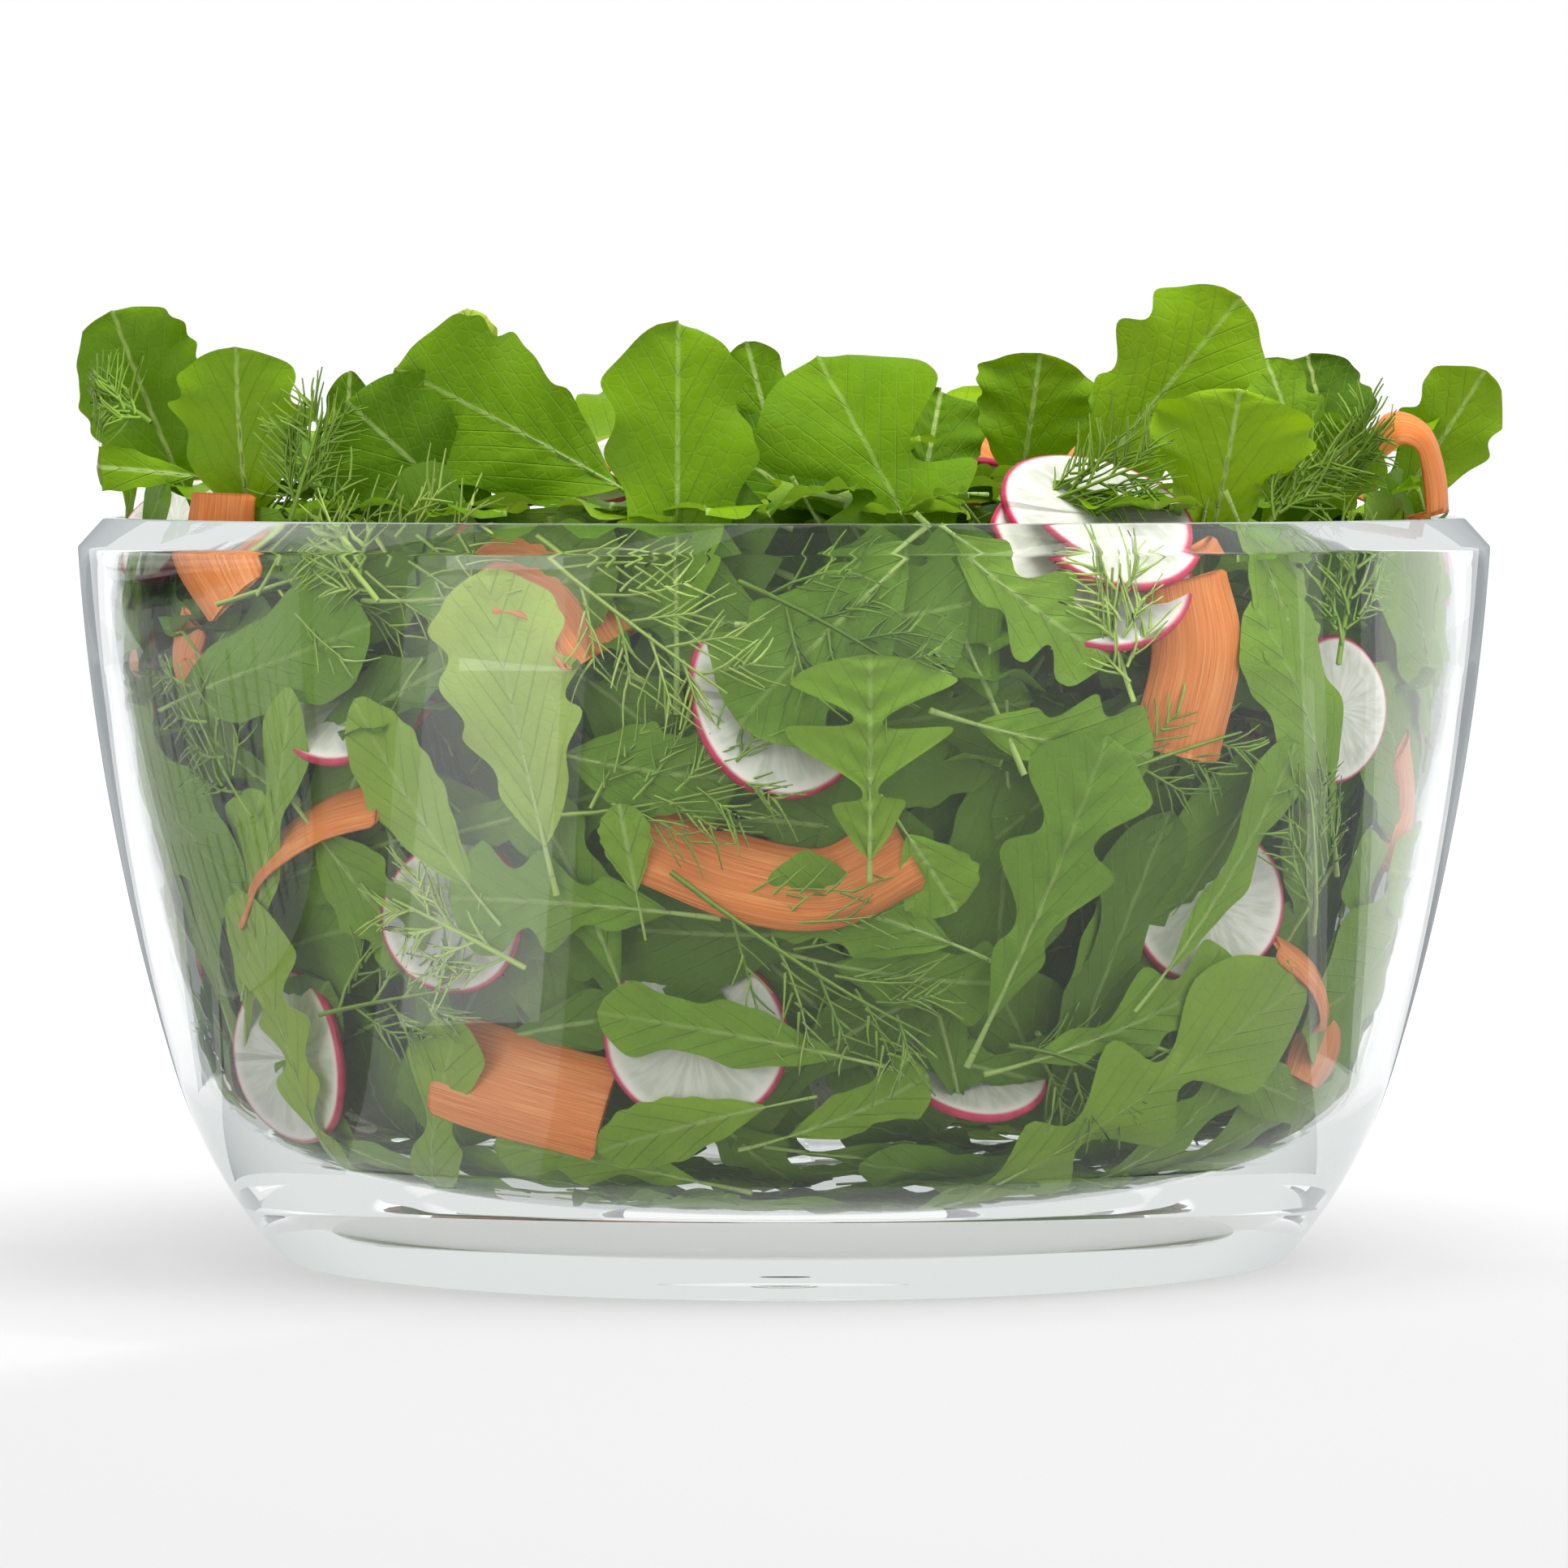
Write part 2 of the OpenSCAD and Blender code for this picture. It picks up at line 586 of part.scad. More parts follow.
module drive_plate() {
    hub_out_r = hub_in_r + hub_t;
    disc_top = disc_z + disc_t;
    track_in = brake_ring - pad_r - 2;
    track_out = brake_ring + pad_r + 2;
    at_unit() color("white") difference() {
        union() {
            translate([0, 0, disc_z]) cylinder(r = disc_r, h = disc_t);
            ring(disc_r - 5, disc_r, lug_z + 0.6, disc_z - lug_z);
            translate([0, 0, hub_z]) cylinder(r = hub_out_r, h = disc_z - hub_z + eps);
            around(lugs, disc_r - 4) translate([0, -lug_w / 2, lug_z])
                cube([lug_out_r - disc_r + 4, lug_w, disc_top - lug_z]);
        }
        translate([0, 0, hub_floor_top]) cylinder(r = hub_in_r, h = 60);
        translate([0, 0, hub_z - 1]) cylinder(r = axle_r + screw_clear, h = 10);
        // Windows inside and outside the brake's track
        for (band = [[hub_out_r + 5, track_in], [track_out, disc_r - 8]]) around(12, 0, 15)
            translate([0, 0, lug_z - 1]) linear_extrude(height = 12) polygon(concat(
                arc([0, 0], band[0], -11, 11, 4), arc([0, 0], band[1], 11, -11, 4)));
    }
}

module plate_bush() {
    at_unit() color("ivory") ring(housing_r + run_clear, hub_in_r, housing_z + 0.6, 6);
}

module axle_screw() {
    at_unit() color("silver") {
        translate([0, 0, hub_z - axle_washer_t])
            cylinder(r = axle_r, h = pawl_deck - hub_z + axle_washer_t);
        translate([0, 0, pawl_deck - eps]) cylinder(r = 2 - screw_clear, h = 8);
        difference() {
            translate([0, 0, hub_z - axle_washer_t - axle_head_h]) cylinder(r = 6, h = axle_head_h);
            translate([0, 0, hub_z - axle_washer_t - axle_head_h - 1])
                cylinder(r = 2.2, h = 2.6, $fn = 6);
        }
    }
}

module axle_washer() {
    at_unit() color("lightsteelblue") ring(axle_r + 0.15, 8.5, hub_z - axle_washer_t, axle_washer_t);
}

module pump_knob() {
    body_top = ceiling_z + knob_top_t;
    at_unit() color("dimgray") difference() {
        rotate_extrude() polygon([
            [0, skirt_z], [skirt_r - 0.6, skirt_z], [skirt_r, skirt_z + 0.6], [skirt_r, lip_z],
            [lip_r - 0.8, lip_z], [lip_r, lip_z + 0.8], [lip_r, lip_z + lip_h - 0.8],
            [lip_r - 0.8, lip_z + lip_h], [skirt_r, lip_z + lip_h], [skirt_r, body_top], [0, body_top]
        ]);
        translate([0, 0, skirt_z - 1]) cylinder(r = skirt_r - skirt_t, h = ceiling_z - skirt_z + 1);
    }
}

module knob_grip() {
    z = ceiling_z + knob_top_t;
    round_r = 1.6;
    crown_w = skirt_r - round_r;
    rise = grip_h / 2;
    crown_r = (crown_w * crown_w + rise * rise) / (2 * rise);
    crown_c = [0, z + grip_h - crown_r];
    at_unit() color("dimgray") rotate_extrude() polygon(concat(
        [[0, z], [skirt_r, z]],
        arc([crown_w, z + grip_h - rise - round_r], round_r, 0, 72, 4),
        arc(crown_c, crown_r, dir(crown_c, [crown_w - 1, z + grip_h - rise]), 90, 6)
    ));
}

module plunger_tube() {
    at_unit() color("whitesmoke") difference() {
        translate([0, 0, nut_z]) cylinder(r = plunger_r, h = ceiling_z - nut_z);
        translate([0, 0, nut_z - 1]) cylinder(r = plunger_r - 1.8, h = ceiling_z - nut_z + 2);
    }
}

module drive_nut() {
    turn = 360 / lead;
    at_unit() color("ivory") difference() {
        translate([0, 0, nut_z]) cylinder(r = plunger_r - 1.8, h = nut_h);
        translate([0, 0, nut_z - 1]) rotate([0, 0, (nut_z - 1 - ribs_z) * turn])
            linear_extrude(height = nut_h + 2, twist = -(nut_h + 2) * turn, slices = 5)
                offset(delta = slide_clear) screw_outline();
    }
}

module return_spring() {
    at_unit() color("lightsteelblue") coil(plunger_r + 4.1, 0.9, housing_floor, ceiling_z, 9);
}

module brake_button() {
    at_unit() rotate([0, 0, brake_a]) translate([brake_ring, 0, 0]) color("dimgray") {
        difference() {
            rotate_extrude() polygon([
                [0, button_z], [brake_r, button_z], [brake_r, button_top - 1.6],
                [brake_r - 0.5, button_top - 0.5], [brake_r - 1.6, button_top], [0, button_top]
            ]);
            translate([0, 0, button_z - 1])
                cylinder(r = brake_r - 1.8, h = button_top - cap_t - button_z + 1);
        }
        translate([0, 0, brake_ceiling])
            cylinder(r = stem_r, h = button_top - cap_t + eps - brake_ceiling);
        translate([0, 0, brake_ceiling - 3]) cylinder(r = 2.4, h = 3 + eps);
    }
}

module brake_pad() {
    at_unit() rotate([0, 0, brake_a]) translate([brake_ring, 0, brake_ceiling - pad_h]) color("darkgray")
        difference() {
            cylinder(r = pad_r, h = pad_h);
            translate([0, 0, pad_h - 3]) cylinder(r = 2.4, h = 4);
        }
}

module brake_spring() {
    at_unit() rotate([0, 0, brake_a]) translate([brake_ring, 0, 0]) color("lightsteelblue")
        coil(7.6, 0.6, brake_ceiling + pocket_roof_t, button_top - cap_t, 5);
}

module knob_lock() {
    back = platform_r2 - lock_travel / 2 - 1;
    pad_r1 = platform_r1 + 9;
    at_unit() rotate([0, 0, lock_a]) color("dimgray") {
        difference() {
            union() {
                translate([tongue_tip, -lock_w / 2, tongue_z]) cube([back - tongue_tip, lock_w, tongue_t]);
                translate([pad_r1, -lock_w / 2, tongue_z]) cube([back - pad_r1, lock_w, tongue_t + 1.6]);
            }
            // The tongue's end follows the knob
            translate([-lock_travel, 0, tongue_z - 1])
                translate([2 * lock_travel, 0, 0])
                    cylinder(r = tongue_tip - lock_travel, h = tongue_t + 2);
        }
        for (i = [0:2]) translate([pad_r1 + 1.6 + i * 3, -lock_w / 2 + 1, tongue_z + tongue_t + 1.5])
            cube([1.2, lock_w - 2, 0.9]);
        translate([lock_stem_r - 4, -2, platform_z - lock_clip_t - 0.2])
            cube([8, 4, tongue_z - platform_z + lock_clip_t + 0.3]);
    }
}

module lock_clip() {
    at_unit() rotate([0, 0, lock_a]) color("lightsteelblue")
        translate([lock_stem_r, 0, platform_z - 0.2 - lock_clip_t]) difference() {
            translate([-6, -5, 0]) cube([12, 10, lock_clip_t]);
            translate([-4, -2, -1]) cube([8, 4, lock_clip_t + 2]);
        }
}

glass_bowl();
basket();
basket_pivot();
lid_shell();
lid_base();
lid_seal();
lid_screws();
mechanism_housing();
housing_screws();
trim_ring();
screw_bush();
thrust_washer();
drive_screw();
pawl_carrier();
pawl_1();
pawl_2();
pawl_3();
pawl_springs();
ratchet_ring();
drive_plate();
plate_bush();
axle_screw();
axle_washer();
pump_knob();
knob_grip();
plunger_tube();
drive_nut();
return_spring();
brake_button();
brake_pad();
brake_spring();
knob_lock();
lock_clip();
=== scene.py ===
"""Pump-top salad spinner: a glass bowl of salad, with the basket and the lid standing beside it."""
import math
import random

import bpy
import numpy as np
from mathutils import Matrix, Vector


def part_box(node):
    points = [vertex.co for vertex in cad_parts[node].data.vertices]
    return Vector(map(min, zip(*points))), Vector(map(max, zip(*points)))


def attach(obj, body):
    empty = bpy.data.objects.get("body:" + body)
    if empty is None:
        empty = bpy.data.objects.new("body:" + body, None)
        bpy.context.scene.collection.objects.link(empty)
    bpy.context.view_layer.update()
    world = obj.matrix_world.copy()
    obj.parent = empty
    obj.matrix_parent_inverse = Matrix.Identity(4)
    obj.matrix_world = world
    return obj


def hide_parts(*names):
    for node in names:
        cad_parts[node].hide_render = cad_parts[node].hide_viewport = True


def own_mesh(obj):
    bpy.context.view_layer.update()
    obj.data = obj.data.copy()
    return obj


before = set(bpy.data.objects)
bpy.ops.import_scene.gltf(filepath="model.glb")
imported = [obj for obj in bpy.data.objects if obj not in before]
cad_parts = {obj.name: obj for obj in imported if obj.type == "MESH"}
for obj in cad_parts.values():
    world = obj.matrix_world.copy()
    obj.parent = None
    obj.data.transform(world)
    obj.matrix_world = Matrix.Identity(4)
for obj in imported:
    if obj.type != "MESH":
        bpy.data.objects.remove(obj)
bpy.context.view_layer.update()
MM = 0.001

# ---- Camera, worktop and light ----
# The bowl is seen from a little above its rim, from far enough off that its sides hardly converge.
# It stands on a matt white worktop in a white room, under soft boxes above and at both sides.
CAMERA_DISTANCE = 1.71
CAMERA_HEIGHT = 0.160
CAMERA_TILT = math.radians(2.33)
LENS = 203.9
SENSOR = 36.0

camera = bpy.data.objects.new("camera", bpy.data.cameras.new("camera"))
camera.data.lens = LENS
camera.data.sensor_width = SENSOR
camera.location = (0, -CAMERA_DISTANCE, CAMERA_HEIGHT)
camera.rotation_euler = (math.pi / 2 - CAMERA_TILT, 0, 0)
bpy.context.collection.objects.link(camera)
bpy.context.scene.camera = camera
bpy.context.scene.view_settings.view_transform = "Standard"

# The room's far walls are white, and light matt faces by a smaller share than they show in glass
MATT_SHARE = 0.42
world = bpy.data.worlds.new("white_room")
world.use_nodes = True
bpy.context.scene.world = world
room = world.node_tree
room.nodes["Background"].inputs["Color"].default_value = (1, 1, 1, 1)
matt_ray = room.nodes.new("ShaderNodeLightPath").outputs["Is Diffuse Ray"]
dimmed = room.nodes.new("ShaderNodeMath")
dimmed.operation = "MULTIPLY_ADD"
dimmed.inputs[1].default_value = MATT_SHARE - 1
dimmed.inputs[2].default_value = 1.0
room.links.new(matt_ray, dimmed.inputs[0])
room.links.new(dimmed.outputs[0], room.nodes["Background"].inputs["Strength"])


BOWL_MIDDLE = (0, 0, 0.08)


def soft_box(name, place, size, power):
    """A rectangular area lamp at place, facing the bowl."""
    data = bpy.data.lights.new(name, "AREA")
    data.shape = "RECTANGLE"
    data.size, data.size_y = size
    data.energy = power
    lamp = bpy.data.objects.new(name, data)
    lamp.location = place
    x, y, z = (a - p for a, p in zip(BOWL_MIDDLE, place))
    lamp.rotation_euler = (math.atan2(math.hypot(x, y), -z), 0, math.atan2(y, x) - math.pi / 2)
    bpy.context.collection.objects.link(lamp)
    return lamp


above = soft_box("box_above", (0.1, -0.25, 1.3), (0.9, 0.7), 19)
above.visible_glossy = False
soft_box("box_right", (0.85, -0.5, 1.0), (1.1, 1.1), 9)
soft_box("box_left", (-0.97, -1.04, 0.35), (0.5, 1.1), 5)


def new_material(name, **values):
    """A material whose Principled shader has these socket values; returns it, its nodes and its shader."""
    made = bpy.data.materials.new(name)
    made.use_nodes = True
    shader = made.node_tree.nodes["Principled BSDF"]
    for socket, value in values.items():
        shader.inputs[socket.replace("_", " ")].default_value = value
    return made, made.node_tree, shader


def add_mesh(name, points, faces, made, smooth=True):
    """A mesh object of these points and faces, in metres."""
    mesh = bpy.data.meshes.new(name)
    mesh.from_pydata([tuple(p) for p in points], [], [tuple(f) for f in faces])
    mesh.polygons.foreach_set("use_smooth", [smooth] * len(mesh.polygons))
    mesh.materials.append(made)
    piece = bpy.data.objects.new(name, mesh)
    bpy.context.collection.objects.link(piece)
    return piece


def add_node(tree, kind, links=(), **settings):
    """A shader node with its settings, and its inputs linked or set from links."""
    made = tree.nodes.new(kind)
    for key, value in settings.items():
        setattr(made, key, value)
    for socket, source in dict(links).items():
        if isinstance(source, bpy.types.NodeSocket):
            tree.links.new(source, made.inputs[socket])
        else:
            made.inputs[socket].default_value = source
    return made


def ramp(tree, factor, *stops):
    """A colour ramp over factor, with stops of (place, colour)."""
    made = add_node(tree, "ShaderNodeValToRGB", {0: factor})
    while len(made.color_ramp.elements) < len(stops):
        made.color_ramp.elements.new(1.0)
    for element, (place, colour) in zip(made.color_ramp.elements, stops):
        element.position = place
        element.color = (*colour, 1)
    return made.outputs["Color"]


def span(tree, value, low, high, to_low=0.0, to_high=1.0):
    """value taken from low..high to to_low..to_high, smoothly and clamped."""
    return add_node(
        tree,
        "ShaderNodeMapRange",
        {0: value, 1: low, 2: high, 3: to_low, 4: to_high},
        interpolation_type="SMOOTHSTEP",
    ).outputs[0]


def maths(tree, operation, a, b=0.0, c=0.0):
    """One arithmetic step."""
    return add_node(tree, "ShaderNodeMath", {0: a, 1: b, 2: c}, operation=operation).outputs[0]


def mix(tree, factor, a, b, blend="MIX"):
    """Colours a and b mixed by factor."""
    return add_node(
        tree, "ShaderNodeMix", {0: factor, 6: a, 7: b}, data_type="RGBA", blend_type=blend
    ).outputs[2]


def noise(tree, scale, detail=2.0, coordinates=None):
    """Noise over the piece's own coordinates, scale in cells per metre."""
    if coordinates is None:
        coordinates = add_node(tree, "ShaderNodeTexCoord").outputs["Object"]
    return add_node(
        tree, "ShaderNodeTexNoise", {"Vector": coordinates, "Scale": scale, "Detail": detail}
    ).outputs["Fac"]


def bump(tree, shader, height, depth):
    """Relief of this depth in metres from a height of 0 to 1."""
    made = add_node(tree, "ShaderNodeBump", {"Height": height, "Distance": depth, "Strength": 1.0})
    tree.links.new(made.outputs[0], shader.inputs["Normal"])


def steady_glow(shader, colour, strength):
    """A colour that the surface gives off, at a strength that may vary over it."""
    shader.inputs["Emission Color"].default_value = (*colour, 1)
    shader.id_data.links.new(strength, shader.inputs["Emission Strength"])


WORKTOP_SIZE = 60.0
WORKTOP_Z = -0.0003
# The worktop's painted glow next to the bowl, where it stands as painted shade; it rises to 1 far off
PAINTED_GLOW_NEAR = 0.54
worktop_finish, tree, shader = new_material("worktop_white", Roughness=0.8, Specular_IOR_Level=0.1)
ground = add_node(tree, "ShaderNodeTexCoord").outputs["Object"]
away = add_node(tree, "ShaderNodeVectorMath", {0: ground}, operation="LENGTH").outputs["Value"]
# White acrylic. Painted light: the worktop glows, so shadows on it stay faint. The glow is least in an oval
# round and in front of the bowl, a painted shade there, and rises to full white far off, where the worktop
# fades into the white room behind. Its matt colour is darker far off, where the glow takes over.
oval = add_node(tree, "ShaderNodeVectorMath", {0: ground, 1: (0, 0.35, 0)}, operation="ADD").outputs[0]
oval = add_node(tree, "ShaderNodeVectorMath", {0: oval, 1: (2.0, 1.1, 0)}, operation="MULTIPLY").outputs[0]
oval = add_node(tree, "ShaderNodeVectorMath", {0: oval}, operation="LENGTH").outputs["Value"]
fade_away, fade_oval = span(tree, away, 0.5, 4.0, PAINTED_GLOW_NEAR, 1.0), span(tree, oval, 0.25, 1.25, PAINTED_GLOW_NEAR, 1.0)
cloudy = maths(tree, "MULTIPLY", noise(tree, 2.0), 0.01)
painted_glow = maths(tree, "ADD", maths(tree, "MAXIMUM", fade_away, fade_oval), cloudy)
steady_glow(shader, (1, 1, 1), painted_glow)
tint = ramp(tree, span(tree, away, 0.3, 3.0), (0.0, (0.21, 0.21, 0.21)), (1.0, (0.1, 0.1, 0.1)))
tree.links.new(tint, shader.inputs["Base Color"])
half = WORKTOP_SIZE / 2
corners = [(-half, -half), (half, -half), (half, half), (-half, half)]
worktop = add_mesh("worktop", [(x, y, WORKTOP_Z) for x, y in corners], [(0, 1, 2, 3)], worktop_finish)

# Dark cloth hangs round the camera's side, over the bowl and on the worktop's front, where only what the
# glass mirrors can show it. A gap at the left holds a white card that draws a soft stripe, and grey cards
# beside and behind the bowl draw the edges of its wall. Sectors are azimuths round the bowl from -Y.
CLOTH_R = 2.4
CLOTH_INNER_R = 0.125
CARD_Z = 0.002
CLOTH_SECTORS = ((-1.75, -1.02), (-0.50, 1.50))
WHITE_SECTOR = (-0.94, -0.56)
GREY_SECTORS = ((-2.05, -1.80), (1.60, 1.85), (-2.90, -2.60), (2.60, 2.90))


def grey_tones(tree, shader, low, high):
    """Two close greys in soft clouds."""
    greys = ramp(tree, noise(tree, 8.0), (0.0, (low, low, low)), (1.0, (high, high, high)))
    tree.links.new(greys, shader.inputs["Base Color"])


cloth_black, tree, shader = new_material("cloth_black", Roughness=1.0, Specular_IOR_Level=0.0)
grey_tones(tree, shader, 0.01, 0.03)
cloth_line = [(r, CARD_Z) for r in np.linspace(CLOTH_INNER_R, CLOTH_R, 6)]
cloth_line += [(CLOTH_R * math.cos(e), CLOTH_R * math.sin(e)) for e in np.linspace(0.03, 1.5, 16)]
card_white, tree, shader = new_material("card_white", Roughness=0.9)
steady_glow(shader, (1, 1, 1), span(tree, noise(tree, 3.0), 0.2, 0.8, 1.0, 1.4))
white_line = [(r, CARD_Z) for r in np.linspace(0.2, 1.1, 6)]
card_grey, tree, shader = new_material("card_grey", Roughness=1.0, Specular_IOR_Level=0.0)
steady_glow(shader, (0.9, 0.95, 1.0), span(tree, noise(tree, 3.0), 0.2, 0.8, 0.28, 0.36))
grey_tones(tree, shader, 0.02, 0.04)
grey_line = [(r, CARD_Z) for r in (0.2, 0.5, 0.9)] + [(1.3, z) for z in (CARD_Z, 0.25, 0.5, 0.8)]


def grid_faces(rows, columns, loop=False):
    """Quads of a grid of points, closed round its columns if loop."""
    r, c = np.meshgrid(np.arange(rows - 1), np.arange(columns if loop else columns - 1), indexing="ij")
    n = (c + 1) % columns
    here, above = r * columns, (r + 1) * columns
    return np.stack([here + c, here + n, above + n, above + c], -1).reshape(-1, 4)


def swept_screen(name, line, sector, made, seen_through=False):
    """A screen swept over a sector round the bowl, that is seen only in reflections, or also through glass."""
    around = np.linspace(*sector, 24)
    points = [(r * math.sin(a), -r * math.cos(a), z) for r, z in line for a in around]
    screen = add_mesh(name, points, grid_faces(len(line), len(around)), made)
    screen.visible_camera = screen.visible_diffuse = screen.visible_shadow = False
    screen.visible_transmission = seen_through


for number, sector in enumerate(CLOTH_SECTORS):
    swept_screen(f"dark_cloth_{number + 1}", cloth_line, sector, cloth_black)
for number, sector in enumerate(GREY_SECTORS):
    swept_screen(f"edge_card_{number + 1}", grey_line, sector, card_grey, True)
swept_screen("white_card", white_line, WHITE_SECTOR, card_white)

# ---- Glass bowl ----
# Pressed clear glass: one turned wall that thickens into a heavy foot, a broad bevel round the rim, and a
# nub in the middle of the floor for the basket to turn on. All its edges are fire-polished round.
low, high = (np.array(corner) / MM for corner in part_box("glass_bowl"))
RIM_R = (high[0] - low[0]) / 2
RIM_Z = high[2]
BEVEL = (5.0, 5.6)
RIM_FLAT = 1.4
FOOT_R = RIM_R - 38.6
SHOULDER = np.array([RIM_R - 18.3, 36.0])
WALL_BOW = 3.0
WALL_T = 4.6
FLOOR_Z = 8.0
HEEL_R = 40.0
NUB_R = 5.0
NUB_H = 11.0
EDGE_ROUND = 0.5

bevel_foot = np.array([RIM_R, RIM_Z - BEVEL[1]])
chord = bevel_foot - SHOULDER
wall_arc = (chord @ chord / 4 + WALL_BOW**2) / (2 * WALL_BOW)
outward = np.array([chord[1], -chord[0]]) / np.linalg.norm(chord)
wall_middle = (bevel_foot + SHOULDER) / 2 + outward * (WALL_BOW - wall_arc)
heel_way = (wall_middle - SHOULDER) / wall_arc
foot_step = np.array([FOOT_R, 0]) - SHOULDER
heel_arc = foot_step @ foot_step / (2 * heel_way @ foot_step)
heel_middle = SHOULDER + heel_arc * heel_way
inner_arc = wall_arc - WALL_T
inner_r = RIM_R - BEVEL[0] - RIM_FLAT
hollow_z = FLOOR_Z + HEEL_R
hollow_r = wall_middle[0] + math.sqrt((inner_arc - HEEL_R) ** 2 - (hollow_z - wall_middle[1]) ** 2)
hollow_angle = math.atan2(hollow_z - wall_middle[1], hollow_r - wall_middle[0])


def arc(middle, radius, start, end, steps):
    """Points along an arc, angles in radians."""
    angles = np.linspace(start, end, steps)
    return [(middle[0] + radius * math.cos(a), middle[1] + radius * math.sin(a)) for a in angles]


def angle_at(middle, point):
    return math.atan2(point[1] - middle[1], point[0] - middle[0])


def rounded(outline, corners, radius, steps=4):
    """The outline with the numbered corners rounded off."""
    out = []
    for i, point in enumerate(outline):
        if i not in corners:
            out.append(point)
            continue
        p = np.array(point)
        a, b = np.array(outline[i - 1]), np.array(outline[(i + 1) % len(outline)])
        reach = min(radius, np.linalg.norm(a - p) / 2.2, np.linalg.norm(b - p) / 2.2)
        start = p + (a - p) / np.linalg.norm(a - p) * reach
        end = p + (b - p) / np.linalg.norm(b - p) * reach
        for t in np.linspace(0, 1, steps):
            out.append(tuple((1 - t) ** 2 * start + 2 * t * (1 - t) * p + t**2 * end))
    return out


def turned(name, outline, made, middle=(0.0, 0.0), segments=160):
    """A solid of revolution about an upright axis, from its outline of (radius, height) in millimetres."""
    points, faces, rings = [], [], []
    for r, z in outline:
        if r < 1e-6:
            rings.append([len(points)] * segments)
            points.append((middle[0], middle[1], z * MM))
            continue
        rings.append(list(range(len(points), len(points) + segments)))
        for i in range(segments):
            a = 2 * math.pi * i / segments
            points.append((middle[0] + r * MM * math.cos(a), middle[1] + r * MM * math.sin(a), z * MM))
    closed = outline[0][0] > 1e-6 and outline[-1][0] > 1e-6
    pairs = list(zip(rings, rings[1:])) + ([(rings[-1], rings[0])] if closed else [])
    for one, two in pairs:
        for i in range(segments):
            j = (i + 1) % segments
            corners = [one[i], one[j], two[j], two[i]]
            faces.append(tuple(dict.fromkeys(corners)))
    return add_mesh(name, points, faces, made)


inner_top = -math.acos((inner_r - wall_middle[0]) / inner_arc)
outer_wall = arc(heel_middle, heel_arc, angle_at(heel_middle, (FOOT_R, 0)), angle_at(heel_middle, SHOULDER), 14)
wall_start, wall_end = angle_at(wall_middle, SHOULDER), angle_at(wall_middle, bevel_foot)
outer_wall += arc(wall_middle, wall_arc, wall_start, wall_end, 26)[1:]
rim = [(RIM_R - BEVEL[0], RIM_Z), (inner_r, RIM_Z)]
inner_wall = arc(wall_middle, inner_arc, inner_top, hollow_angle, 26)
inner_wall += arc((hollow_r, hollow_z), HEEL_R, hollow_angle, -math.pi / 2, 18)[1:]
nub_middle = (0, FLOOR_Z + NUB_H - NUB_R)
nub = [(NUB_R + 2, FLOOR_Z), (NUB_R + 0.5, FLOOR_Z + 0.5), (NUB_R, FLOOR_Z + 2)]
nub += arc(nub_middle, NUB_R, 0, math.pi / 2, 8)
bowl_outline = [(0, 0)] + outer_wall + rim + inner_wall + nub
bowl_outline[-1] = (0, bowl_outline[-1][1])
rim_at = 1 + len(outer_wall)
bowl_outline = rounded(bowl_outline, (1, rim_at - 1, rim_at, rim_at + 1), EDGE_ROUND)

glass, tree, shader = new_material(
    "clear_glass", Base_Color=(0.985, 0.995, 0.99, 1), Roughness=0.0, IOR=1.5, Transmission_Weight=1.0
)
bump(tree, shader, noise(tree, 18.0, 1.0), 0.00012)
# Seen edge on, light goes a long way through the wall and loses a little on it
edge_on = add_node(tree, "ShaderNodeLayerWeight", {"Blend": 0.5}).outputs["Facing"]
glass_tint = ramp(tree, edge_on, (0.60, (0.985, 0.995, 0.99)), (1.0, (0.60, 0.67, 0.69)))
tree.links.new(glass_tint, shader.inputs["Base Color"])


def see_through(tree, shader, lamp_colour):
    """Lets lamps shine through a clear piece. Light that has bounced about inside it for long is room light,
    so it glows faintly there instead of ending black."""
    path = add_node(tree, "ShaderNodeLightPath").outputs
    lets_lamps_through = add_node(tree, "ShaderNodeBsdfTransparent", {"Color": lamp_colour})
    links = {0: path["Is Shadow Ray"], 1: shader.outputs[0], 2: lets_lamps_through.outputs[0]}
    mixed = add_node(tree, "ShaderNodeMixShader", links)
    tree.links.new(mixed.outputs[0], tree.nodes["Material Output"].inputs["Surface"])
    long_way = maths(tree, "COMPARE", path["Ray Depth"], 6.0, 0.5)
    long_way = maths(tree, "MULTIPLY", long_way, maths(tree, "LESS_THAN", path["Diffuse Depth"], 0.5))
    steady_glow(shader, (0.93, 0.97, 0.96), maths(tree, "MULTIPLY", long_way, 0.8))


see_through(tree, shader, (0.93, 0.95, 0.94, 1))

bowl = turned("glass_bowl_turned", bowl_outline, glass, segments=256)
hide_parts("glass_bowl")
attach(bowl, "bowl")

# ---- Rocket leaves ----
# Baby rocket fills the bowl and stands above its rim: thin leaves with a pale midrib and a stalk, some
# plain and broad, some with deep side lobes. They lie flat against the glass and stand loose on top.
rng = random.Random(11)
GLASS_GAP = 0.6
SALAD_TOP = 189.0
HEIGHT_STEP = 0.5

# The hollow's outline from the middle of the floor up, with the way that its face turns
hollow = [(0.0, FLOOR_Z)] + inner_wall[::-1] + [(inner_r, SALAD_TOP + 20)]
hollow_line = np.array(hollow)
run = np.concatenate([[0], np.cumsum(np.linalg.norm(np.diff(hollow_line, axis=0), axis=1))])
hollow_run = np.arange(0, run[-1], HEIGHT_STEP)
hollow_line = np.stack([np.interp(hollow_run, run, hollow_line[:, k]) for k in (0, 1)], -1)
hollow_way = np.gradient(hollow_line, axis=0)
hollow_way /= np.linalg.norm(hollow_way, axis=1, keepdims=True)
hollow_face = np.stack([-hollow_way[:, 1], hollow_way[:, 0]], -1)
first_rise = int(np.argmax(hollow_line[:, 1] > FLOOR_Z + 0.05))


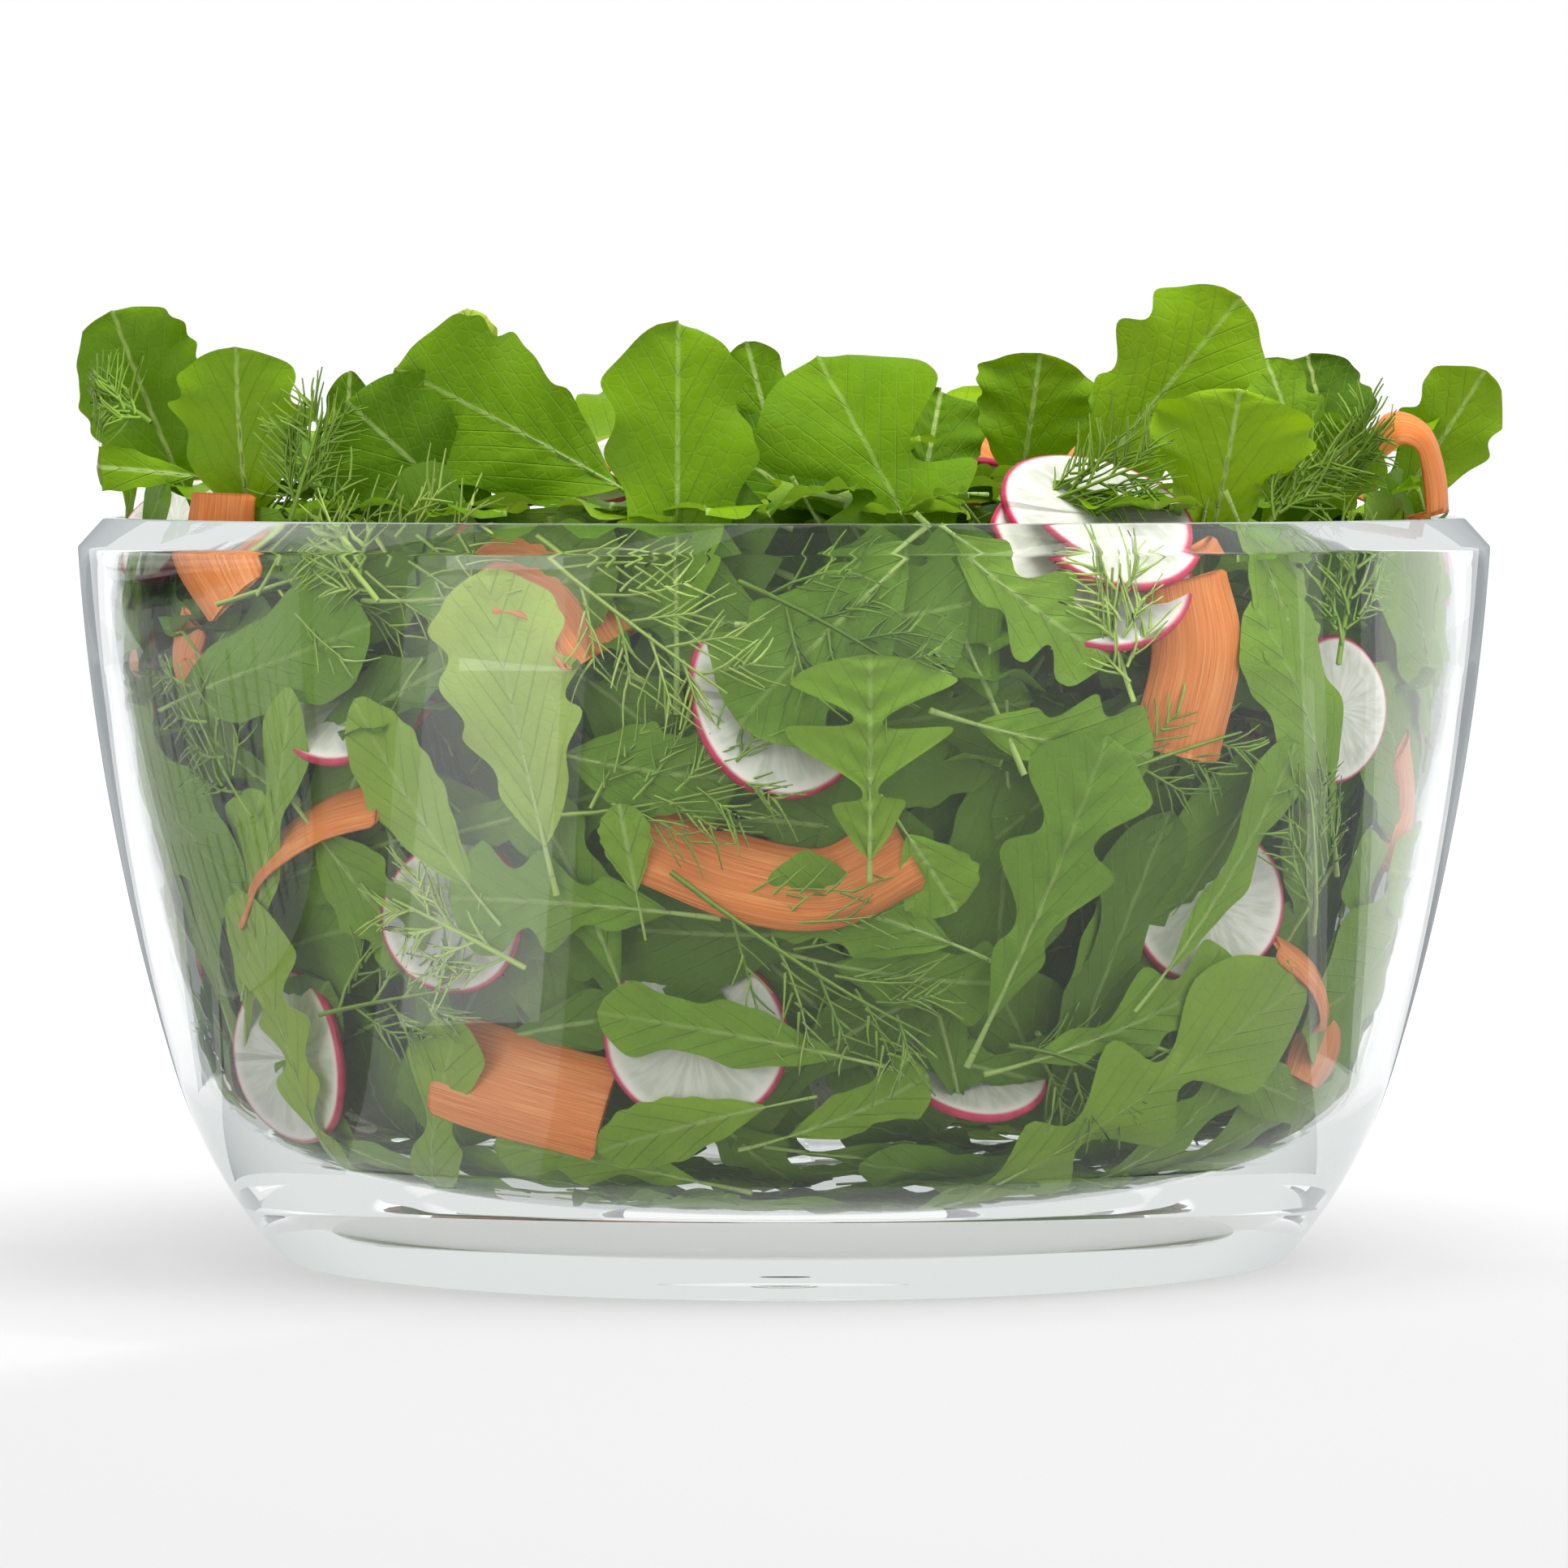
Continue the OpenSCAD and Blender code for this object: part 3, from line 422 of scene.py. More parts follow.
def inside_r(z):
    """Inner radius of the bowl at height z."""
    return np.interp(z, hollow_line[first_rise:, 1], hollow_line[first_rise:, 0])


def keep_in_bowl(points):
    """Presses points that would be in the glass against its inner face."""
    p = points.copy()
    p[:, 2] = np.clip(p[:, 2], FLOOR_Z + GLASS_GAP, SALAD_TOP)
    limit = np.where(p[:, 2] < RIM_Z + 1, inside_r(p[:, 2]) - GLASS_GAP, RIM_R + 2.5)
    squeeze = np.minimum(1, limit / np.maximum(np.hypot(p[:, 0], p[:, 1]), 1e-6))
    p[:, :2] *= squeeze[:, None]
    return p


def behind_glass(x, z, depth=2.0):
    """The point seen at x and z through the front of the bowl, this deep behind the glass."""
    r = inside_r(z) - depth
    x = max(min(x, r - 0.5), -r + 0.5)
    return np.array([x, -math.sqrt(r * r - x * x), z])


def on_wall(around, z, depth=2.0):
    """The point on the inner wall at an angle round the bowl, 0 at +X."""
    r = inside_r(z) - depth
    return np.array([r * math.cos(around), r * math.sin(around), z])


def unit(v):
    return v / np.maximum(np.linalg.norm(v, axis=-1, keepdims=True), 1e-9)


class AgainstGlass:
    """Lays a flat piece on the inner wall, as salad presses on glass, this deep behind it. The foot and the
    tip of the piece are points on the wall. sway bends the piece sideways."""

    def __init__(self, foot, tip, depth, sway=0.0):
        ends = []
        for x, y, z in (foot, tip):
            ends.append((math.atan2(y, x), np.interp(z, hollow_line[first_rise:, 1], hollow_run[first_rise:])))
        (self.around, self.start), (end_around, end) = ends
        self.radius = (inside_r(foot[2]) + inside_r(tip[2])) / 2
        step = (end_around - self.around + math.pi) % (2 * math.pi) - math.pi
        self.way = np.array([step * self.radius, end - self.start])
        self.length = float(np.linalg.norm(self.way))
        self.way /= self.length
        self.depth, self.sway = depth, sway

    def place(self, a, b, lift):
        share = a / self.length
        b = b + self.sway * self.length * (share**2 - share)
        around = self.around + (self.way[0] * a - self.way[1] * b) / self.radius
        s = self.start + self.way[1] * a + self.way[0] * b
        column = np.stack([np.interp(s, hollow_run, line) for line in (*hollow_line.T, *hollow_face.T)], -1)
        r = column[..., 0] + column[..., 2] * (self.depth + lift)
        z = column[..., 1] + column[..., 3] * (self.depth + lift)
        return np.stack([r * np.cos(around), r * np.sin(around), z], -1)


class InTheAir:
    """Holds a piece between two points, its middle bowed out towards the side it faces."""

    def __init__(self, foot, tip, face, bend=0.1, twist=0.0):
        self.foot, self.tip = np.array(foot, float), np.array(tip, float)
        self.length = float(np.linalg.norm(self.tip - self.foot))
        self.face = unit(np.array(face, float))
        self.middle = (self.foot + self.tip) / 2 + self.face * bend * self.length
        self.twist = twist

    def place(self, a, b, lift):
        t = (a / self.length)[..., None]
        c = np.maximum(t, 0)
        spine = (1 - c) ** 2 * self.foot + 2 * c * (1 - c) * self.middle + c**2 * self.tip
        way = unit(2 * (1 - c) * (self.middle - self.foot) + 2 * c * (self.tip - self.middle))
        spine = spine + way * (t - c) * self.length
        side = unit(np.cross(way, self.face))
        up = np.cross(side, way)
        turn = self.twist * (t - 0.5)
        side, up = side * np.cos(turn) + up * np.sin(turn), up * np.cos(turn) - side * np.sin(turn)
        return spine + side * b[..., None] + up * lift[..., None]


class Heap:
    """Gathers many like pieces, in millimetres, to become one mesh. Each point is marked with three numbers
    for the material: its place along and across the piece, and the piece's own shade, which for leaves is
    partly their tone and partly painted shade."""

    def __init__(self):
        self.points, self.faces, self.marks, self.count = [], [], [], 0

    def add(self, points, faces, marks):
        self.points.append(keep_in_bowl(points.reshape(-1, 3)))
        self.faces.append(faces + self.count)
        self.marks.append(marks.reshape(-1, 3))
        self.count += len(self.points[-1])

    def build(self, name, made):
        piece = add_mesh(name, np.concatenate(self.points) * MM, np.concatenate(self.faces), made)
        marks = piece.data.attributes.new("marks", "FLOAT_COLOR", "POINT")
        values = np.pad(np.concatenate(self.marks), ((0, 0), (0, 1)), constant_values=1.0)
        marks.data.foreach_set("color", values.astype(np.float32).ravel())
        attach(piece, "bowl")


def marked(along, across, shade):
    """The marks of a piece's points."""
    return np.stack(np.broadcast_arrays(along, across, shade), -1)


def read_marks(tree):
    """The sockets that hold a point's place along and across its piece, and the piece's shade."""
    marks = add_node(tree, "ShaderNodeAttribute", attribute_name="marks")
    return add_node(tree, "ShaderNodeSeparateColor", {0: marks.outputs["Color"]}).outputs


def streaks(tree, detail, *place):
    """Noise drawn out over a place made of three sockets."""
    joined = add_node(tree, "ShaderNodeCombineXYZ", dict(enumerate(place))).outputs[0]
    return noise(tree, 1.0, detail, joined)


def lit_through(tree, shader, colour, share):
    """Lets this share of the light through a thin piece, in this colour."""
    glow = add_node(tree, "ShaderNodeBsdfTranslucent", {"Color": colour})
    mixed = add_node(tree, "ShaderNodeMixShader", {0: share, 1: shader.outputs[0], 2: glow.outputs[0]})
    tree.links.new(mixed.outputs[0], tree.nodes["Material Output"].inputs["Surface"])


# Steps that spread pieces evenly with no pattern: as an angle, and as shares of a width and a height
GOLDEN_ANGLE = 2.39996
EVEN_STEPS = (0.618, 0.7549)


def round_the_back(i, low, rise):
    """The angle and the height of the i-th piece of those spread over the wall's far half."""
    return math.pi * (0.02 + 0.96 * (i * EVEN_STEPS[0] % 1)), low + rise * (i * EVEN_STEPS[1] % 1)


def tube(heap, points, radii, sides, marks):
    """A round stem through points."""
    way = unit(np.gradient(points, axis=0))
    side = unit(np.cross(way, np.array([0.31, 0.27, 0.91])))
    up = np.cross(way, side)
    a = np.linspace(0, 2 * math.pi, sides, endpoint=False)
    ring = np.cos(a)[None, :, None] * side[:, None, :] + np.sin(a)[None, :, None] * up[:, None, :]
    skin = points[:, None, :] + ring * radii[:, None, None]
    heap.add(skin, grid_faces(len(points), sides, True), np.repeat(marks, sides, axis=0))


def leaf_edge(t, lobes, cut, pick):
    """Half the blade's width at shares t of its length, as a share of the widest."""
    body = np.sin(math.pi * t ** pick.uniform(1.2, 1.5)) ** 0.55
    if lobes and cut > 0.3:
        body = body * (0.55 + 0.45 * t)
    for i in range(lobes):
        at = 0.10 + 0.60 * (i + 0.8 + pick.uniform(-0.14, 0.14)) / lobes
        width = 0.25 / (lobes + 0.5)
        bay = min(0.88, 1.25 * cut * pick.uniform(0.85, 1.1))
        body = body * (1 - bay * np.exp(-(np.abs((t - at) / width) ** 2.4)))
    wave = np.sin(2 * math.pi * (t * pick.uniform(4, 7) + pick.random()))
    return body * (0.96 + 0.04 * wave)


def leaf(heap, frame_of, width, lobes=0, cut=0.5, cup=0.1, fold=0.1, ruffle=0.05, stalk=8.0, shade=0.5,
         rows=44, columns=9):
    """A leaf whose blade runs the length of the frame it is laid in, with its stalk behind."""
    length = frame_of.length
    seed = rng.random()
    t = np.linspace(0, 1, rows)[:, None]
    s = np.linspace(-1, 1, columns)
    s = (np.sign(s) * np.abs(s) ** 1.1)[None, :]
    edges = [leaf_edge(t, lobes, cut, random.Random(seed + k)) for k in (0, 1)]
    across = s * np.where(s < 0, edges[0], edges[1]) * width / 2
    along = t * length + (0.4 if lobes else 0.3) * np.abs(across) * (1 - t**2)
    waves = np.sin(t * rng.uniform(13, 20) + np.where(s < 0, rng.uniform(0, 6), rng.uniform(0, 6)))
    lift = (
        -2 * cup * across**2 / width
        + fold * np.abs(across)
        + ruffle * width * s**2 * waves
        + 0.010 * width * np.sin(t * 46 - np.abs(across) / width * 26) * (1 - np.abs(s))
    )
    marks = marked(t * length / 60, across / 20, shade)
    heap.add(frame_of.place(along, across, lift), grid_faces(rows, columns), marks)
    # The stalk runs on up the blade as its midrib
    rings = max(rows // 3, 5)
    t = np.linspace(-stalk / length, 0.66, rings)
    radii = np.interp(t, [-0.3, 0, 0.35, 0.66], [0.75, 0.42, 0.2, 0.05]) * min(width / 30, 1.1)
    spine = frame_of.place(t * length, 0 * t, 0 * t)
    tube(heap, spine, radii, 5 if rows > 24 else 3, marked(t, 0.0, shade))


leaf_finish, tree, shader = new_material("rocket_leaf", Roughness=0.5, Specular_IOR_Level=0.2)
along, across, shade = read_marks(tree)
off_rib = maths(tree, "ABSOLUTE", across)
midrib = span(tree, off_rib, 0.008, 0.032, 1, 0)
slanted = maths(tree, "MULTIPLY", off_rib, 5.5)
vein_count = maths(tree, "SUBTRACT", maths(tree, "MULTIPLY", along, 9.0), slanted)
vein = span(tree, maths(tree, "PINGPONG", vein_count, 0.5), 0.0, 0.07, 1, 0)
vein = maths(tree, "MULTIPLY", vein, span(tree, off_rib, 0.0, 0.6, 0.8, 0.25))
net = add_node(tree, "ShaderNodeTexVoronoi", {"Scale": 420.0}, feature="DISTANCE_TO_EDGE")
tree.links.new(add_node(tree, "ShaderNodeTexCoord").outputs["Object"], net.inputs["Vector"])
fine_vein = span(tree, net.outputs["Distance"], 0.0, 0.12, 1, 0)
# The shade mark picks the green, from near black to pale: partly each leaf's own tone, partly painted shade, as
# leaves set deeper in the salad are given darker greens
greens = [(0.0, (0.022, 0.070, 0.001)), (0.35, (0.100, 0.225, 0.002)), (0.7, (0.210, 0.375, 0.006))]
blade = ramp(tree, shade, *greens, (1.0, (0.38, 0.52, 0.07)))
mottle = span(tree, noise(tree, 90.0, 4.0), 0.3, 0.7)
blade = mix(tree, mottle, blade, mix(tree, 1.0, blade, (1.18, 1.12, 1.3, 1), "MULTIPLY"))
blade = mix(tree, maths(tree, "MULTIPLY", fine_vein, 0.06), blade, (0.29, 0.46, 0.05, 1))
blade = mix(tree, maths(tree, "MULTIPLY", vein, 0.42), blade, (0.33, 0.50, 0.07, 1))
rib_fade = maths(tree, "MULTIPLY", midrib, span(tree, along, 0.15, 0.75, 0.8, 0.3))
blade = mix(tree, rib_fade, blade, (0.46, 0.60, 0.20, 1))
underside = add_node(tree, "ShaderNodeNewGeometry").outputs["Backfacing"]
blade = mix(tree, maths(tree, "MULTIPLY", underside, 0.35), blade, (0.21, 0.36, 0.05, 1))
tree.links.new(blade, shader.inputs["Base Color"])
relief = maths(tree, "ADD", maths(tree, "MULTIPLY", vein, -0.6), maths(tree, "MULTIPLY", fine_vein, -0.12))
bump(tree, shader, maths(tree, "ADD", relief, maths(tree, "MULTIPLY", mottle, 0.5)), 0.0004)
lit_through(tree, shader, mix(tree, 1.0, blade, (1.5, 1.35, 0.8, 1), "MULTIPLY"), 0.28)

# Leaves that lie against the glass in front: foot and tip (x, z), width, lobes, cut, shade, depth, sway. The
# shade mixes each leaf's own tone with painted shade, lower for those that lie deeper.
front_leaves = Heap()
for foot_at, tip_at, width, lobes, cut, shade_at, depth, sway in (
    ((-42, 84), (-52, 134), 31, 3, 0.22, 0.98, 1.0, 0.0),
    ((-97, 60), (-88, 112), 17, 1, 0.5, 0.62, 1.6, 0.18),
    ((-56, 76), (-77, 110), 18, 0, 0, 0.8, 2.2, -0.1),
    ((-20, 72), (-60, 74), 30, 2, 0.42, 0.45, 2.4, 0.05),
    ((-26, 76), (-29, 92), 10, 0, 0, 0.6, 1.2, 0),
    ((22, 86), (31, 72), 16, 0, 0, 0.6, 3.2, 0),
    ((36, 52), (57, 104), 36, 2, 0.55, 0.42, 1.0, 0.05),
    ((68, 60), (92, 102), 19, 1, 0.45, 0.5, 1.6, 0.12),
    ((11, 46), (-33, 54), 22, 1, 0.35, 0.5, 1.0, 0.05),
    ((-76, 17), (-98, 74), 27, 3, 0.55, 0.85, 1.2, 0.1),
    ((-60, 13), (-58, 52), 21, 1, 0.55, 0.75, 1.6, 0.0),
    ((-14, 21), (-52, 28), 22, 2, 0.4, 0.65, 2.2, 0.1),
    ((-3, 37), (-33, 28), 14, 0, 0, 0.72, 1.0, 0.06),
    ((14, 11), (94, 58), 42, 3, 0.62, 0.74, 0.8, -0.1),
    ((56, 18), (86, 46), 22, 1, 0.4, 0.5, 2.8, 0.1),
    ((100, 84), (84, 128), 26, 1, 0.25, 0.6, 2.6, 0.1),
    ((34, 106), (66, 100), 27, 2, 0.35, 0.5, 2.2, 0.1),
    ((-112, 108), (-74, 124), 26, 1, 0.25, 0.35, 3.2, 0.05),
    ((0, 30), (26, 42), 19, 1, 0.4, 0.6, 2.8, 0.1),
    ((24, 14), (-24, 16), 17, 1, 0.4, 0.6, 1.6, 0.1),
    ((72, 44), (102, 24), 24, 1, 0.4, 0.5, 3.2, 0),
    ((30, 66), (-4, 76), 22, 1, 0.3, 0.45, 3.4, 0.1),
    ((-86, 86), (-66, 62), 24, 1, 0.3, 0.5, 3.4, 0),
    ((44, 44), (82, 60), 26, 2, 0.45, 0.5, 2.6, 0.1),
    ((30, 138), (58, 118), 28, 2, 0.5, 0.55, 2.4, 0.1),
    ((84, 140), (94, 116), 20, 1, 0.3, 0.6, 2.8, 0),
    ((-100, 46), (-96, 92), 26, 2, 0.4, 0.7, 3.6, 0.1),
    ((-40, 100), (-8, 96), 24, 1, 0.3, 0.4, 4.6, 0.1),
    ((104, 40), (108, 84), 24, 2, 0.4, 0.45, 3.6, 0.1),
    ((22, 136), (-8, 106), 34, 2, 0.25, 0.35, 3.0, 0.08),
    ((-84, 26), (-46, 12), 22, 1, 0.3, 0.5, 3.2, 0.05),
    ((-50, 10), (-6, 13), 20, 2, 0.4, 0.55, 3.4, 0.05),
    ((-2, 10), (40, 13), 22, 1, 0.3, 0.45, 4.0, 0.05),
    ((36, 10), (78, 20), 22, 2, 0.4, 0.5, 3.8, -0.05),
    ((70, 16), (100, 40), 24, 1, 0.3, 0.45, 4.2, 0.05),
    ((-70, 14), (-96, 40), 24, 1, 0.3, 0.4, 4.2, 0.05),
    ((-24, 11), (-62, 20), 24, 1, 0.3, 0.35, 5.4, 0.05),
    ((52, 12), (14, 22), 24, 1, 0.3, 0.35, 5.4, 0.05),
    ((-30, 58), (-46, 92), 24, 1, 0.4, 0.35, 5.0, 0.1),
    ((8, 62), (40, 58), 24, 1, 0.4, 0.4, 5.0, 0.1),
    ((-70, 128), (-30, 134), 26, 1, 0.3, 0.35, 5.4, 0.1),
    ((0, 124), (34, 128), 30, 1, 0.3, 0.3, 5.4, 0.1),
):
    laid = AgainstGlass(behind_glass(*foot_at), behind_glass(*tip_at), depth, sway)
    leaf(
        front_leaves, laid, width, lobes=lobes, cut=cut, shade=shade_at, cup=0.03, fold=0.03, ruffle=0.02,
        rows=56, columns=11, stalk=9,
    )
# The lobed leaf in the middle, upright
laid = AgainstGlass(behind_glass(15, 82), behind_glass(15, 119), 1.0)
leaf(
    front_leaves, laid, 44, lobes=2, cut=0.72, shade=0.6, cup=0.03, fold=0.02, ruffle=0.02, rows=60,
    columns=11, stalk=4,
)

# Leaves that stand above the rim: foot, tip (x, y, z), width, lobes, cut, shade
for foot_at, tip_at, width, lobes, cut, shade_at in (
    ((-112, -40, 146), (-126, -42, 181), 31, 1, 0.12, 0.36),
    ((-99, -62, 140), (-101, -70, 174), 31, 2, 0.2, 0.52),
    ((-84, -10, 146), (-83, -8, 170), 10, 0, 0, 0.3),
    ((-52, -86, 138), (-80, -88, 164), 31, 1, 0.15, 0.27),
    ((-60, 0, 160), (-61, 4, 182), 13, 0, 0, 0.9),
    ((-30, -82, 148), (-71, -86, 170), 36, 2, 0.14, 0.42),
    ((-19, -121, 122), (-19, -110, 178), 31, 2, 0.18, 0.46),
    ((0, -60, 148), (-7, -56, 175), 15, 1, 0.2, 0.4),
    ((37, -118, 110), (6, -100, 172), 54, 2, 0.5, 0.42),
    ((44, -40, 146), (48, -44, 173), 27, 1, 0.15, 0.5),
    ((52, -74, 144), (84, -76, 183), 30, 3, 0.16, 0.6),
    ((78, -84, 138), (83, -92, 166), 35, 3, 0.12, 0.7),
    ((98, -50, 146), (90, -48, 172), 19, 2, 0.25, 0.5),
    ((106, 0, 148), (101, 6, 173), 28, 1, 0.12, 0.15),
    ((114, -20, 140), (133, -24, 170), 22, 2, 0.2, 0.55),
    ((-110, -50, 150), (-135, -54, 152), 9, 0, 0, 0.5),
    ((-20, -30, 146), (4, -34, 163), 24, 1, 0.2, 0.25),
    ((26, -20, 146), (30, -10, 166), 26, 1, 0.2, 0.3),
    ((70, -10, 146), (64, 0, 168), 26, 1, 0.2, 0.35),
    ((-120, 20, 146), (-126, 30, 166), 26, 1, 0.2, 0.35),
    ((88, -60, 140), (108, -74, 158), 22, 1, 0.2, 0.4),
    ((-70, -60, 142), (-84, -40, 160), 24, 1, 0.2, 0.2),
    ((10, -70, 140), (-14, -60, 158), 24, 1, 0.2, 0.2),
):
    bend, twist = rng.uniform(0.04, 0.12), rng.uniform(-0.4, 0.4)
    held = InTheAir(foot_at, tip_at, (foot_at[0] / 300, -1, 0.3), bend, twist)
    leaf(
        front_leaves, held, width, lobes=lobes, cut=cut, shade=shade_at, cup=0.2, fold=0.14, ruffle=0.045,
        rows=56, columns=11, stalk=14,
    )
front_leaves.build("rocket_leaves_front", leaf_finish)

# Leaves round the rest of the wall and through the whole bowl, laid by chance, their greens darker the deeper
# they lie, as painted shade. In front, the layer next to the glass is the one above.
wall_leaves = Heap()
WALL_R = 118
WALL_LEAF_Z = (10, 144, 150)
FRONT_ARC = (-2.75, -0.4)
# Depth behind the glass, number of leaves, and rows and columns of each
WALL_LAYERS = ((1.6, 84, 36, 7), (4.2, 84, 30, 7), (8.0, 96, 26, 7), (13.0, 96, 18, 5), (22.0, 80, 12, 5))
for depth, number, rows, columns in WALL_LAYERS:
    for i in range(number):
        around = 2 * math.pi * (i * EVEN_STEPS[0] % 1) - math.pi
        z = 14 + 124 * ((i * EVEN_STEPS[1] + 0.3 * depth) % 1)
        if depth < 6 and FRONT_ARC[0] < around < FRONT_ARC[1]:
            continue
        length = rng.uniform(46, 72)
        turn = rng.uniform(0, 2 * math.pi)
        step, rise = 0.5 * length * math.cos(turn), 0.5 * length * math.sin(turn)
        lowest, foot_top, tip_top = WALL_LEAF_Z
        foot_at = on_wall(around - step / WALL_R, min(max(z - rise, lowest), foot_top))
        tip_at = on_wall(around + step / WALL_R, min(max(z + rise, lowest), tip_top))
        laid = AgainstGlass(foot_at, tip_at, depth + rng.uniform(-0.5, 2.0), rng.uniform(-0.15, 0.15))
        # Painted shade: the green is darker the deeper the leaf lies behind the glass
        leaf(
            wall_leaves, laid, rng.uniform(0.40, 0.58) * length, lobes=rng.choice((0, 1, 2, 2)),
            cut=rng.uniform(0.2, 0.6), cup=0.05, fold=0.03, ruffle=0.03,
            shade=rng.uniform(0.25, 0.75) / (1 + depth / 6), rows=rows, columns=columns,
            stalk=rng.uniform(2, 8),
        )
# A ring of leaves pressed into the curve where the wall meets the floor
HEEL_LEAVES = 46
for i in range(HEEL_LEAVES):
    around = 2 * math.pi * i / HEEL_LEAVES
    sweep = rng.uniform(0.26, 0.44) * rng.choice((-1, 1))
    laid = AgainstGlass(
        on_wall(around, rng.uniform(8.6, 12), 0.5), on_wall(around + sweep, rng.uniform(8.8, 17), 0.5),
        rng.uniform(0.7, 2.2), rng.uniform(-0.1, 0.1),
    )
    leaf(
        wall_leaves, laid, rng.uniform(15, 23), lobes=rng.choice((0, 1, 2)), cut=rng.uniform(0.2, 0.5),
        cup=0.02, fold=0.02, ruffle=0.02, shade=rng.uniform(0.35, 0.65), rows=30, columns=7, stalk=4,
    )
wall_leaves.build("rocket_leaves_wall", leaf_finish)

# Leaves heaped on top, in layers from the rim down, of which only the first is seen closely; the lower layers
# get darker greens, as painted shade
heaped_leaves = Heap()
HEAPED = 230
HEAP_R, HEAP_REACH = 118, 124
HEAP_LAYERS = (143, 130, 110)
FRONT_Y, FRONT_TOP = -60, 144
for i in range(HEAPED):
    r = HEAP_R * math.sqrt((i + 0.5) / HEAPED)
    around = i * GOLDEN_ANGLE
    length = rng.uniform(36, 60)
    layer = i % len(HEAP_LAYERS)
    rows, columns = (14, 5) if layer else (30, 7)
    z = HEAP_LAYERS[layer] + rng.uniform(-5, 5)
    turn = around + rng.uniform(-1.6, 1.6)
    lift = rng.uniform(0.0, 0.45) if layer == 0 else rng.uniform(-0.2, 0.25)
    foot_at = np.array([r * math.cos(around), r * math.sin(around), z])
    way = np.array([math.cos(turn) * math.cos(lift), math.sin(turn) * math.cos(lift), math.sin(lift)])
    tip_at = foot_at + way * length
    tip_at[:2] *= min(1, HEAP_REACH / math.hypot(tip_at[0], tip_at[1]))
    if tip_at[1] < FRONT_Y:
        tip_at[2] = min(tip_at[2], FRONT_TOP)
    face = (-way[0] * math.sin(lift), -way[1] * math.sin(lift), math.cos(lift))
    held = InTheAir(foot_at, tip_at, face, rng.uniform(0.05, 0.18), rng.uniform(-0.5, 0.5))
    # Painted shade: the lower a leaf's layer, the darker its green
    leaf(
        heaped_leaves, held, rng.uniform(0.42, 0.6) * length, lobes=rng.choice((0, 1, 2, 2)),
        cut=rng.uniform(0.15, 0.5), shade=rng.uniform(0.2, 0.7) / (1 + layer), ruffle=0.06, rows=rows,
        columns=columns, stalk=rng.uniform(2, 10),
    )
# A bed of leaves on the floor of the bowl
BED = 64
BED_R = (24, 92)
BED_FLAT_R = 60
for i in range(BED):
    r = BED_R[0] + (BED_R[1] - BED_R[0]) * math.sqrt((i + 0.5) / BED)
    around = i * GOLDEN_ANGLE
    length = rng.uniform(32, 46)
    turn = around + math.pi / 2 + rng.uniform(-0.7, 0.7)
    z = 10 + 0.07 * max(0, r - BED_FLAT_R) + rng.uniform(0, 7)
    foot_at = np.array([r * math.cos(around), r * math.sin(around), z])
    tip_at = foot_at + length * np.array([math.cos(turn), math.sin(turn), 0.08])
    held = InTheAir(foot_at, tip_at, (0, 0, 1), 0.06, rng.uniform(-0.3, 0.3))
    leaf(
        heaped_leaves, held, rng.uniform(0.45, 0.6) * length, lobes=rng.choice((0, 1, 2)), cut=0.3,
        shade=rng.uniform(0.3, 0.6), rows=18, columns=5, stalk=3,
    )
heaped_leaves.build("rocket_leaves_heaped", leaf_finish)

# ---- Radish slices ----
# Round slices about two millimetres thick, cut across: white flesh with faint rays and a thin red skin.
RADISH_T = 1.7
radish_heap = Heap()


def radish(middle, radius, face, warp=0.06):
    """A slice with its cut face turned to face."""
    n = 56
    face = unit(np.array(face, float))
    side = unit(np.cross(face, np.array([0.1, 0.05, 1.0])))
    up = np.cross(side, face)
    a = np.linspace(0, 2 * math.pi, n, endpoint=False)
    outline = 1 + 0.025 * np.sin(2 * a + rng.uniform(0, 6)) + 0.012 * np.sin(3 * a + rng.uniform(0, 6))
    # Rings of one face from the middle out, with their height as a share of half the thickness
    rings = [(0.02, 1), (0.35, 1), (0.65, 1), (0.86, 1), (0.94, 1), (0.975, 0.9), (1.0, 0.45)]
    rings += [(share, -height) for share, height in rings[::-1]]
    points, marks = [], []
    for share, height in rings:
        r = radius * share * outline
        lift = height * RADISH_T / 2 + warp * radius * share**2 * np.cos(2 * a)
        x, y, z = (line[:, None] for line in (r * np.cos(a), r * np.sin(a), lift))
        points.append(np.array(middle) + side * x + up * y + face * z)
        marks.append(marked(share, a / (2 * math.pi), rng.random()))
    points = np.concatenate(points)
    # A slice that would be in the glass is moved in whole, as it doesn't bend
    for _ in range(3):
        low = points[points[:, 2] < RIM_Z + 1]
        over = (np.hypot(low[:, 0], low[:, 1]) - inside_r(low[:, 2]) + GLASS_GAP + 0.3).max(initial=0)
        if over > 0:
            inwards = -np.array([middle[0], middle[1], 0]) / math.hypot(middle[0], middle[1])
            points = points + over * (inwards + np.array([0, 0, 0.25]))
    radish_heap.add(points, grid_faces(len(rings), n, True), np.concatenate(marks))


radish_finish, tree, shader = new_material("radish", Roughness=0.32, Specular_IOR_Level=0.5)
share, around, shade = read_marks(tree)
rays = streaks(tree, 3.0, maths(tree, "MULTIPLY", share, 2.0), maths(tree, "MULTIPLY", around, 46.0), shade)
flesh = ramp(tree, rays, (0.35, (0.56, 0.58, 0.48)), (0.62, (0.74, 0.74, 0.67)))
flesh = mix(tree, span(tree, share, 0.80, 0.93), flesh, (0.84, 0.80, 0.74, 1))
skin = ramp(tree, noise(tree, 260.0), (0.35, (0.45, 0.006, 0.05)), (0.75, (0.70, 0.035, 0.13)))
colour = mix(tree, span(tree, share, 0.925, 0.975), flesh, skin)
tree.links.new(colour, shader.inputs["Base Color"])
bump(tree, shader, rays, 0.0002)
lit_through(tree, shader, colour, 0.2)

